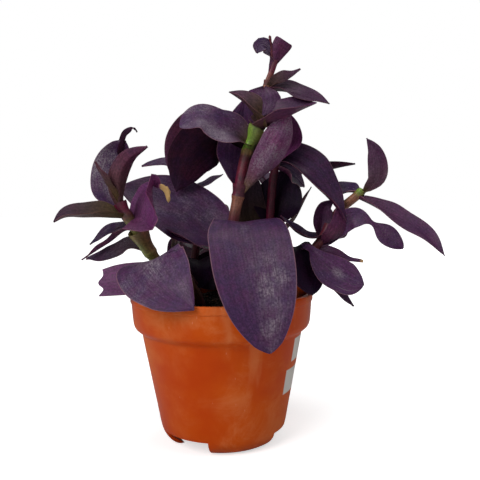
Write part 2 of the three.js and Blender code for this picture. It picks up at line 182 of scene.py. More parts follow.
def objectPlace(tree):
    return tree.nodes.new("ShaderNodeTexCoord").outputs["Object"]


def startMaterial(name, **constants):
    material = bpy.data.materials.new(name)
    material.use_nodes = True
    tree = material.node_tree
    shader = tree.nodes["Principled BSDF"]
    for socket, value in constants.items():
        shader.inputs[socket.replace("_", " ")].default_value = value
    return material, tree, shader


def bumped(tree, shader, height, strength, distance):
    bump = addNode(tree, "ShaderNodeBump", {"Height": height, "Strength": strength, "Distance": distance})
    tree.links.new(bump.outputs["Normal"], shader.inputs["Normal"])


leafTints = {
    "deep": srgb(60, 28, 64),
    "blue": srgb(48, 33, 66),
    "young": srgb(120, 46, 104),
    "olive": srgb(92, 76, 30),
    "wine": srgb(84, 28, 46),
    "underDeep": srgb(80, 32, 60),
    "dust": srgb(132, 120, 130),
    "edge": srgb(132, 92, 104),
    "dry": srgb(186, 150, 98),
    "stem": srgb(98, 14, 46),
    "stemDark": srgb(62, 16, 34),
    "tan": srgb(150, 98, 72),
    "green": srgb(112, 148, 48),
}

# Living tissue. Scales of noise go up as its forms get finer
tissue = {
    "mottleScale": 130,
    "grainScale": 900,
    "thinVeins": (150.0, 7.0),    # radians across the blade, and how far the veins wander
    "thickVeins": (52.0, 5.0),
    "thinShare": 0.4,             # the thick veins have the rest
    "streaks": (9.0, 1.6),        # how the lengthwise streaks of dust are stretched, across and along
    "specksScale": 620.0,
    "gritScale": 1500,
    "cloudsScale": 30,
    "rimFrom": 0.484,             # the pale rim starts and is full here: rib at 0, margin at 0.5
    "rimFull": 0.497,
    # Painted shade: a leaf or stem in shadow is darkened toward these shares of its colours, and loses this
    # share of its shine
    "inShade": (0.1, 0.075, 0.08, 1),  # the share of each colour that deep shade leaves
    "shineLost": 0.85,            # the share of the shine that it takes
    "bumpDepth": 0.0004,
}


def veinLines(tree, across, uv):
    # All the lengthwise veins together, and the thin ones alone
    drift = noiseField(tree, uv, 6, 2)

    def lines(count, wander):
        wave = maths(tree, "MULTIPLY_ADD", across, count, times(tree, drift, wander))
        return maths(tree, "MULTIPLY_ADD", maths(tree, "SINE", wave), 0.5, 0.5)

    thin, thick = lines(*tissue["thinVeins"]), lines(*tissue["thickVeins"])
    thickPart = times(tree, thick, 1 - tissue["thinShare"])
    return maths(tree, "MULTIPLY_ADD", thin, tissue["thinShare"], thickPart), thin


def dustFilm(tree, place, streaks, fine, thin, amount):
    # Scuffed bloom, clouds of fine grit and single specks, as much of them as a leaf is painted with
    scuff = mask(tree, noiseField(tree, streaks, 3.2, 6, 0.68), 0.5, 0.74)
    bloom = mask(tree, noiseField(tree, place, 55, 4, 0.6), 0.42, 0.7)
    specks = mask(tree, dotField(tree, place, tissue["specksScale"]), 0.22, 0.1)
    specks = times(tree, specks, mask(tree, fine, 0.5, 0.62))
    grit = mask(tree, noiseField(tree, place, tissue["gritScale"], 3, 0.65), 0.4, 0.64, 0.1, 1.0)
    grit = times(tree, grit, mask(tree, thin, 0.1, 0.6, 0.7, 1.0))
    clouds = mask(tree, noiseField(tree, place, tissue["cloudsScale"], 4, 0.62), 0.46, 0.7)
    dust = maths(tree, "ADD", times(tree, scuff, bloom), times(tree, clouds, grit))
    film = maths(tree, "MULTIPLY_ADD", specks, 0.8, dust, clamp=True)
    return maths(tree, "MULTIPLY", film, amount, clamp=True)


def dustAndSheenPatches(tree, place, streaks, fine, film):
    # The film with the painted patches over it, of dust and on one leaf a painted sheen, broken up by lumps
    # and streaks
    patch = addNode(tree, "ShaderNodeAttribute", attribute_name="patch").outputs["Fac"]
    lumps = mask(tree, noiseField(tree, place, 70, 6, 0.75), 0.38, 0.66, 0.12, 1.0)
    lines = mask(tree, noiseField(tree, streaks, 7.0, 4, 0.7), 0.36, 0.66, 0.25, 1.0)
    patch = times(tree, patch, times(tree, lumps, lines))
    return maths(tree, "MULTIPLY_ADD", patch, mask(tree, fine, 0.32, 0.62, 0.35, 1.5), film, clamp=True)


def livingSurface():
    # One group for all living tissue: mottling, veins, dusty bloom, and the tone painted on each leaf, with
    # its painted shade
    tree = bpy.data.node_groups.new("livingSurface", "ShaderNodeTree")
    sockets = (
        ("INPUT", "NodeSocketColor", ("Deep", "Second", "Young", "Olive")),
        ("INPUT", "NodeSocketFloat", ("Veins", "Dust", "Margin")),
        ("OUTPUT", "NodeSocketColor", ("Color",)),
        ("OUTPUT", "NodeSocketFloat", ("Roughness", "Height")),
    )
    for way, kind, names in sockets:
        for name in names:
            tree.interface.new_socket(name, in_out=way, socket_type=kind)
    given = tree.nodes.new("NodeGroupInput").outputs
    place = objectPlace(tree)
    uv = addNode(tree, "ShaderNodeUVMap", uv_map="leafMap").outputs["UV"]
    onLeaf = addNode(tree, "ShaderNodeSeparateXYZ", {"Vector": uv}).outputs
    tone = addNode(tree, "ShaderNodeAttribute", attribute_name="tone")
    parts = addNode(tree, "ShaderNodeSeparateColor", {"Color": tone.outputs["Color"]}).outputs
    young, olive, dusty, shade = parts["Red"], parts["Green"], parts["Blue"], tone.outputs["Alpha"]
    dry = addNode(tree, "ShaderNodeAttribute", attribute_name="dry").outputs["Fac"]
    stretchAcross, stretchAlong = tissue["streaks"]
    streaks = addNode(tree, "ShaderNodeCombineXYZ", {
        "X": times(tree, onLeaf["X"], stretchAcross),
        "Y": times(tree, onLeaf["Y"], stretchAlong),
    }).outputs[0]

    mottle = noiseField(tree, place, tissue["mottleScale"], 4, 0.55)
    fine = noiseField(tree, place, tissue["grainScale"], 3, 0.6)
    veins, thin = veinLines(tree, onLeaf["X"], uv)
    film = dustFilm(tree, place, streaks, fine, thin, times(tree, dusty, given["Dust"]))
    film = dustAndSheenPatches(tree, place, streaks, fine, film)
    fromRib = maths(tree, "ABSOLUTE", maths(tree, "SUBTRACT", onLeaf["X"], 0.5))
    rim = mask(tree, fromRib, tissue["rimFrom"], tissue["rimFull"])

    colour = mixColour(tree, mask(tree, mottle, 0.35, 0.68), given["Deep"], given["Second"])
    colour = mixColour(tree, young, colour, given["Young"])
    colour = mixColour(tree, olive, colour, given["Olive"])
    veinTint = maths(tree, "MULTIPLY_ADD", maths(tree, "SUBTRACT", veins, 0.5), given["Veins"], 1.0)
    veinTint = times(tree, veinTint, mask(tree, fine, 0.3, 0.7, 0.72, 1.3))
    grey = addNode(tree, "ShaderNodeCombineColor", dict.fromkeys(("Red", "Green", "Blue"), veinTint))
    colour = mixColour(tree, 1.0, colour, grey.outputs[0], "MULTIPLY")
    colour = mixColour(tree, film, colour, leafTints["dust"])
    colour = mixColour(tree, times(tree, rim, given["Margin"]), colour, leafTints["edge"])
    # Painted shade, as much as the tone's shade share gives
    dark = mixColour(tree, 1.0, colour, tissue["inShade"], "MULTIPLY")
    colour = mixColour(tree, shade, colour, dark)
    colour = mixColour(tree, dry, colour, leafTints["dry"])

    results = {
        "Color": colour,
        "Roughness": maths(tree, "MULTIPLY_ADD", film, 0.22, mask(tree, mottle, 0.3, 0.7, 0.42, 0.56)),
        "Height": maths(tree, "MULTIPLY_ADD", fine, 0.35, times(tree, veins, given["Veins"])),
    }
    addNode(tree, "NodeGroupOutput", results)
    return tree


def livingMaterial(name, group, tints, veins, dust, margin, bump, specular):
    material, tree, shader = startMaterial(name, Specular_IOR_Level=specular)
    values = {"Veins": veins, "Dust": dust, "Margin": margin}
    for socket, tint in zip(("Deep", "Second", "Young", "Olive"), tints):
        values[socket] = leafTints[tint]
    skin = addNode(tree, "ShaderNodeGroup", values, node_tree=group)
    tree.links.new(skin.outputs["Color"], shader.inputs["Base Color"])
    tree.links.new(skin.outputs["Roughness"], shader.inputs["Roughness"])
    # Painted shade also takes away part of the shine
    shade = addNode(tree, "ShaderNodeAttribute", attribute_name="tone").outputs["Alpha"]
    shine = maths(tree, "MULTIPLY_ADD", shade, -specular * tissue["shineLost"], specular)
    tree.links.new(shine, shader.inputs["Specular IOR Level"])
    bumped(tree, shader, skin.outputs["Height"], bump, tissue["bumpDepth"])
    return material


living = livingSurface()
leafMaterials = [
    livingMaterial("leafUpper", living, ("deep", "blue", "young", "olive"),
                   veins=0.3, dust=0.75, margin=0.75, bump=0.5, specular=0.22),
    livingMaterial("leafUnder", living, ("underDeep", "deep", "young", "olive"),
                   veins=0.35, dust=0.35, margin=0.5, bump=0.45, specular=0.2),
    livingMaterial("leafEdge", living, ("edge", "wine", "young", "olive"),
                   veins=0.1, dust=0.1, margin=0.0, bump=0.1, specular=0.12),
    livingMaterial("stemSkin", living, ("stem", "stemDark", "tan", "green"),
                   veins=0.45, dust=0.15, margin=0.0, bump=0.6, specular=0.45),
]
print("materials for leaves and stems made")


# How each kind of leaf is coloured: shares of young magenta, olive, dusty bloom and painted shade, how
# green its base is and how far that reaches, how dry its tip is and from where, how far it is torn in mm,
# how dark the painted shade in the crease along its rib is, and where it has patches of dust (on the round
# leaf over the rim, a painted sheen): place across and along, spread across and along, strength. Each kind
# gives only what it has unlike plum
looks = {
    "plum": {"young": 0.12, "olive": 0, "dust": 0.6, "shade": 0, "green": 0.15, "baseReach": 0.12,
             "dry": 0, "dryFrom": 0.96, "ragged": 0, "creaseShade": 0.12, "patches": ()},
    "dusty": {"young": 0.1, "dust": 0.8},
    "lilac": {"young": 0.28, "dust": 1.1},
    "grey": {"young": 0, "dust": 1.5},
    "young": {"young": 0.9, "dust": 0.3},
    # wine and olive carry a little painted shade, and the last kind below is dark with painted shade
    "wine": {"young": 0.2, "olive": 0.12, "dust": 0.3, "shade": 0.25},
    "olive": {"young": 0.05, "olive": 0.75, "dust": 0.1, "shade": 0.35},
    "deepShaded": {"young": 0.05, "dust": 0.2, "shade": 0.85},
}

# Leaves
leafShape = {
    "across": 18,             # faces from margin to margin
    "rowLength": 1.25 * mm,   # length of a face along the rib
    "baseHalf": 2.4 * mm,
    "tipHalf": 0.35 * mm,
    "widestAt": 0.4,
    "tipCurve": 2.6,
    "pinchAt": 0.62,
    "pinchSpread": 0.1,
    "tipRound": 0.32,         # share of a blunt leaf that rounds off at its tip
    "squareFrom": 0.7,        # bluntness from which a tip is cut off square instead
    "towardTip": 1.5,         # how closely the rows of faces gather toward the tip
    "thickness": 0.62 * mm,
    "marginThickness": 0.4,   # share of the full thickness
    "channel": 0.16,          # how round the fold along the rib is, as a share of half the width
    "clasp": 80,              # degrees that the very base folds up round the stem
    "claspReach": 0.1,
    "curl": 0.05,             # how far the margins turn down again
    "stiffBase": (0.05, 0.3),  # where waves set in, and where they are full
    "wave": 0.42 * mm,
    "waves": (1.6, 2.8),      # fewest and most along a margin
    "unevenness": 0.5 * mm,
    "dentLength": 14 * mm,
    # the painted shade in the crease along the rib
    "creaseShadeWidth": 0.22,      # of the darker strip along the rib
    "smoothAngle": 50,
}


def smoothPath(points):
    # A centripetal curve through given points, read by its share of the length
    knots = [Vector(p) * mm for p in points]
    ends = [2 * knots[0] - knots[1], *knots, 2 * knots[-1] - knots[-2]]
    line = []
    steps = 20
    for i in range(len(knots) - 1):
        p0, p1, p2, p3 = ends[i:i + 4]
        d0, d1, d2 = [math.sqrt((b - a).length) for a, b in ((p0, p1), (p1, p2), (p2, p3))]
        m1 = ((p1 - p0) / d0 - (p2 - p0) / (d0 + d1) + (p2 - p1) / d1) * d1
        m2 = ((p2 - p1) / d1 - (p3 - p1) / (d1 + d2) + (p3 - p2) / d2) * d1
        for k in range(steps):
            u = k / steps
            line.append((2 * u**3 - 3 * u**2 + 1) * p1 + (u**3 - 2 * u**2 + u) * m1
                        + (3 * u**2 - 2 * u**3) * p2 + (u**3 - u**2) * m2)
    line.append(knots[-1])
    reached = [0.0]
    for a, b in zip(line, line[1:]):
        reached.append(reached[-1] + (b - a).length)

    def at(t):
        target = t * reached[-1]
        i = min(max(bisect.bisect_left(reached, target), 1), len(line) - 1)
        share = (target - reached[i - 1]) / max(reached[i] - reached[i - 1], 1e-9)
        before, after = line[max(i - 2, 0)], line[min(i + 1, len(line) - 1)]
        return line[i - 1].lerp(line[i], share), (after - before).normalized()

    return at, reached[-1]


def halfWidth(t, form):
    full = form["wide"] * mm / 2
    neck = form.get("neck", 0)
    widest = form.get("widest", leafShape["widestAt"])
    if t < widest:
        rise = math.sin(max(t - neck, 0) / (widest - neck) * math.pi / 2)
        return lerp(leafShape["baseHalf"], full, rise)
    u = (t - widest) / (1 - widest)
    pinch = 1 - form.get("pinch", 0) * bell(t - leafShape["pinchAt"], leafShape["pinchSpread"])
    blunt = form.get("blunt", 0)
    end = 1 - (1 - blunt) * u ** form.get("taper", leafShape["tipCurve"])
    last = 0
    if 0 < blunt < leafShape["squareFrom"]:
        last = (t - 1) / (leafShape["tipRound"] * blunt) + 1
    rounded = math.sqrt(max(1 - max(last, 0) ** 2, 0))
    return max(full * pinch * end * rounded, leafShape["tipHalf"])


def bladeRow(at, t, form):
    # A row's centre on the rib, its directions to the left margin and upwards, and half its width
    heading = math.radians(form["heading"])
    flat = Vector((-math.sin(heading), math.cos(heading), 0))
    centre, along = at(t)
    left = (flat - along * flat.dot(along)).normalized()
    roll = math.radians(atThird(form.get("roll", (0, 0, 0)), t))
    left = Matrix.Rotation(roll, 3, along) @ left
    return centre, left, along.cross(left), halfWidth(t, form)


def bladeSurface(form, look, number):
    # A blade's length, and its surface: s is -1 to 1 from margin to margin, t is 0 to 1 along
    draw = random.Random(number)
    at, length = smoothPath(form["rib"])
    fold, sides = form.get("fold", (55, 30, 20)), form.get("sides", (1, 1))
    waves, phase = draw.uniform(*leafShape["waves"]), draw.uniform(0, 6)
    seed = Vector((number * 3.7, number * 1.3, 0))
    rows = {}

    def surface(s, t):
        key = round(t, 5)
        if key not in rows:
            rows[key] = bladeRow(at, t, form)
        centre, left, up, half = rows[key]
        reach = abs(s) * half * (sides[0] if s > 0 else sides[1])
        lift = math.radians(atThird(fold, t))
        lift = lerp(math.radians(leafShape["clasp"]), lift, smoothStep(0, leafShape["claspReach"], t))
        bend = leafShape["channel"] * half
        free = smoothStep(*leafShape["stiffBase"], t)
        ripple = math.sin(2 * math.pi * waves * t + phase + (0.9 if s > 0 else 0))
        dents = noise.noise(Vector((s * 1.4, t * length / leafShape["dentLength"], 0)) + seed)
        rise = math.sin(lift) * (math.hypot(reach, bend) - bend)
        rise -= leafShape["curl"] * half * abs(s) ** 3
        rise += leafShape["wave"] * free * abs(s) ** 2.5 * ripple
        rise += leafShape["unevenness"] * free * dents
        side = math.copysign(reach * math.cos(lift), s)
        tear = noise.noise(Vector((s * 1.3, 0, 0)) + seed)
        torn = look["ragged"] * mm * smoothStep(0.85, 1, t) * tear
        return centre + left * side + up * rise + left.cross(up) * torn

    return length, surface


def bladeTone(s, t, look):
    # Shares of young magenta, olive, dust and painted shade at a place on the blade
    base = bell(t, look["baseReach"])
    olive = max(look["olive"] * lerp(1, 0.25, smoothStep(0.1, 0.9, t)), look["green"] * base)
    # painted shade in the crease along the rib, fading toward the tip
    creaseShade = look["creaseShade"] * bell(s, leafShape["creaseShadeWidth"]) * (1 - t)
    shade = look["shade"] * lerp(1, 0.7, t) + creaseShade
    return look["young"], olive, look["dust"] * smoothStep(0, 0.2, t), min(shade, 1)


# Painted patches: dust, and on the round leaf over the rim a painted sheen
def bladeDustAndSheen(s, t, look):
    return sum(strength * bell(s - middle, wide) * bell(t - height, tall)
               for middle, height, wide, tall, strength in look["patches"])


def paint(mesh, tones, dries=None, dustAndSheen=None):
    nothing = [0.0] * len(tones)
    tone = mesh.attributes.new("tone", "FLOAT_COLOR", "POINT")
    tone.data.foreach_set("color", [value for four in tones for value in four])
    for name, values in (("dry", dries), ("patch", dustAndSheen)):
        layer = mesh.attributes.new(name, "FLOAT", "POINT")
        layer.data.foreach_set("value", values or nothing)


def setMap(mesh, places):
    layer = mesh.uv_layers[0]
    layer.name = "leafMap"
    for loop in mesh.loops:
        layer.data[loop.index].uv = places[loop.vertex_index]


def mapPlace(across, t, length, number):
    # Across the middle of the map, and along it at the same scale for every leaf and stem
    return across + 0.5, t * length / 0.1 + number * 3


def startGrid(name, across, along):
    startObject()
    bpy.ops.mesh.primitive_grid_add(x_subdivisions=across, y_subdivisions=along, size=2)
    sheet = bpy.context.object
    sheet.name = name
    for material in leafMaterials:
        sheet.data.materials.append(material)
    return sheet


def thicken(leaf, shares):
    group = leaf.vertex_groups.new(name="body")
    for i, share in enumerate(shares):
        group.add([i], share, "REPLACE")
    solidify = leaf.modifiers.new("thickness", "SOLIDIFY")
    solidify.thickness = leafShape["thickness"]
    solidify.offset = -1
    solidify.vertex_group = "body"
    solidify.material_offset = 1      # leafUnder
    solidify.material_offset_rim = 2  # leafEdge
    applyModifiers(leaf)
    leaf.vertex_groups.clear()


def makeLeaf(name, form, number):
    look = {**looks["plum"], **looks[form.get("look", "plum")], **form.get("own", {})}
    length, surface = bladeSurface(form, look, number)
    leaf = startGrid(name, leafShape["across"], max(12, round(length / leafShape["rowLength"])))
    places, tones, dries, dustAndSheen, thick = [], [], [], [], []
    for vertex in leaf.data.vertices:
        s, t = -vertex.co.x, 1 - ((1 - vertex.co.y) / 2) ** leafShape["towardTip"]
        vertex.co = surface(s, t)
        places.append(mapPlace(s * 0.5, t, length, number))
        tones.append(bladeTone(s, t, look))
        dries.append(look["dry"] * smoothStep(look["dryFrom"], look["dryFrom"] + 0.03, t))
        dustAndSheen.append(bladeDustAndSheen(s, t, look))
        thick.append(lerp(1, leafShape["marginThickness"], abs(s) ** 6))
    setMap(leaf.data, places)
    paint(leaf.data, tones, dries, dustAndSheen)
    thicken(leaf, thick)
    return leaf


# Stems, as one tapered tube through every joint of the stem, with a swollen ring at each joint
stemShape = {
    "around": 16,
    "stepLength": 0.9 * mm,
    "swelling": 0.22,
    "swellingLength": 2.2 * mm,
    "soilTop": 79,
    "buried": 15,
    "bare": 0.995,           # a joint past this share of the stem has no sheath
    "sheath": (7.5, 0.75),   # length, and how far it widens
    "sheathThickness": 0.35 * mm,
    "plainTint": (0.1, 0),   # shares of tan and green, where a stem gives none
}


def makeTube(name, path, radiusAt, toneAt, number, openEnded=False):
    at, length = path
    steps = max(6, round(length / stemShape["stepLength"]))
    tube = startGrid(name, stemShape["around"], steps)
    mesh = tube.data
    side, frames = Vector((1, 0, 0)), {}
    for key in sorted({round(vertex.co.y, 5) for vertex in mesh.vertices}):
        t = (key + 1) / 2
        centre, along = at(t)
        side = (side - along * side.dot(along)).normalized()
        frames[key] = centre, side, along.cross(side), t
    places, tones = [], []
    for vertex in mesh.vertices:
        centre, right, up, t = frames[round(vertex.co.y, 5)]
        angle = vertex.co.x * math.pi
        vertex.co = centre + (right * math.cos(angle) + up * math.sin(angle)) * radiusAt(t, angle)
        places.append(mapPlace(angle / (2 * math.pi) * 0.4, t, length, number))
        tones.append(toneAt(t, angle))
    setMap(mesh, places)
    paint(mesh, tones)
    for face in mesh.polygons:
        face.material_index = 3  # stemSkin
    only(tube)
    bpy.ops.object.mode_set(mode="EDIT")
    bpy.ops.mesh.select_all(action="SELECT")
    bpy.ops.mesh.remove_doubles(threshold=0.02 * mm)
    bpy.ops.object.mode_set(mode="OBJECT")
    if openEnded:
        solidify = tube.modifiers.new("wall", "SOLIDIFY")
        solidify.thickness = stemShape["sheathThickness"]
        solidify.offset = -1
        applyModifiers(tube)
    return tube


def stemPath(plant):
    # The stem's whole path from below the soil, and the share of it that each joint stands at
    points, joints = [(*plant["foot"], stemShape["soilTop"] - stemShape["buried"])], []
    for run in plant["runs"]:
        points.extend(run["points"] if len(points) == 1 else run["points"][1:])
        joints.append(len(points) - 1)
    spans = [0.0]
    for a, b in zip(points, points[1:]):
        spans.append(spans[-1] + (Vector(b) - Vector(a)).length)
    return smoothPath(points), [spans[joint] / spans[-1] for joint in joints]


def makeSheath(name, at, length, place, size, radius, cut, toneAt, number):
    # A short open sleeve that stands up from a joint and starts a little below it
    sheathLength, widening = size
    reach = min(sheathLength * mm / length, 1 - place)

    def path(t):
        return at(place + reach * (t - 0.08))

    def radiusAt(t, angle):
        flare = 0.12 * mm + widening * mm * smoothStep(0.3, 1, t)
        return radius * 1.12 + flare + 0.15 * mm * math.sin(angle * 2 + cut)

    return makeTube(name, (path, reach * length), radiusAt, toneAt, number, openEnded=True)


def makeStem(name, plant, number):
    (at, length), places = stemPath(plant)
    radii = [run["radius"] * mm for run in plant["runs"]]
    tints = plant.get("tints", [[stemShape["plainTint"]] * 3] * len(radii))
    stemShade = plant.get("stemShade", 0)
    draw = random.Random(number + 50)
    lump = draw.uniform(0, 6)

    def runAt(t):
        # The run that a place on the stem is in, and how far along it
        i = min(bisect.bisect_left(places, t), len(places) - 1)
        start = places[i - 1] if i else 0
        return i, (t - start) / max(places[i] - start, 1e-6)

    def radiusAt(t, angle):
        i, share = runAt(t)
        thin = radii[i + 1] if i + 1 < len(radii) else radii[i] * 0.8
        radius = lerp(radii[i], thin, smoothStep(0.9, 1, share))
        for place in places:
            away = (t - place) * length / stemShape["swellingLength"]
            radius *= 1 + stemShape["swelling"] * bell(away, 1) - 0.06 * bell(away * 3 - 2.4, 1)
        radius *= 1 + 0.025 * math.sin(angle * 3 + lump + t * 9)
        ending = min(t, 1 - t) * length / (1.2 * mm)
        return radius * math.sqrt(min(max(ending, 0.0001), 1))

    def toneAt(t, angle):
        # Shares of tan, green, dust and painted shade
        i, share = runAt(t)
        early, late = smoothStep(0.35, 0.6, share), smoothStep(0.82, 0.95, share)
        tan, green = (lerp(lerp(low, middle, early), high, late) for low, middle, high in zip(*tints[i]))
        return tan, green * (0.75 - 0.4 * math.cos(angle)), 0.25, stemShade * (1 - 0.4 * t)

    pieces = [makeTube(name + "Tube", (at, length), radiusAt, toneAt, number)]
    for k, place in enumerate(places):
        if place > stemShape["bare"]:
            continue
        above = min(k + 1, len(radii) - 1)
        tan, green = tints[above][0]

        def sheathTone(t, angle, tan=tan, green=green):
            return tan * 0.6, green * lerp(1, 0.5, t) * (0.8 - 0.5 * math.cos(angle)), 0.2, stemShade

        size = plant.get("sheaths", {}).get(k, stemShape["sheath"])
        cut = draw.uniform(0, 6)
        pieces.append(makeSheath(f"{name}Sheath{k}", at, length, place, size, radii[above], cut,
                                 sheathTone, number + k))
    return pieces


def makeBract(name, bract, number):
    # A thin scale with a waist and closed ends
    def radiusAt(t, angle):
        return bract["radius"] * mm * (1.15 - 0.5 * math.sin(t * math.pi)) if 0.01 < t < 0.99 else 1e-6

    def toneAt(t, angle):
        # a little painted shade
        return 0.1, 0, 0, 0.3

    return makeTube(name, smoothPath(bract["points"]), radiusAt, toneAt, number)


def makeShoot(name, plant, number):
    pieces = makeStem(name, plant, number)
    for i, form in enumerate(plant["leaves"]):
        pieces.append(makeLeaf(f"{name}Leaf{i}", form, number + i))
    for i, bract in enumerate(plant.get("bracts", ())):
        pieces.append(makeBract(f"{name}Bract{i}", bract, number + 80 + i))
    return joinPieces(name, pieces)


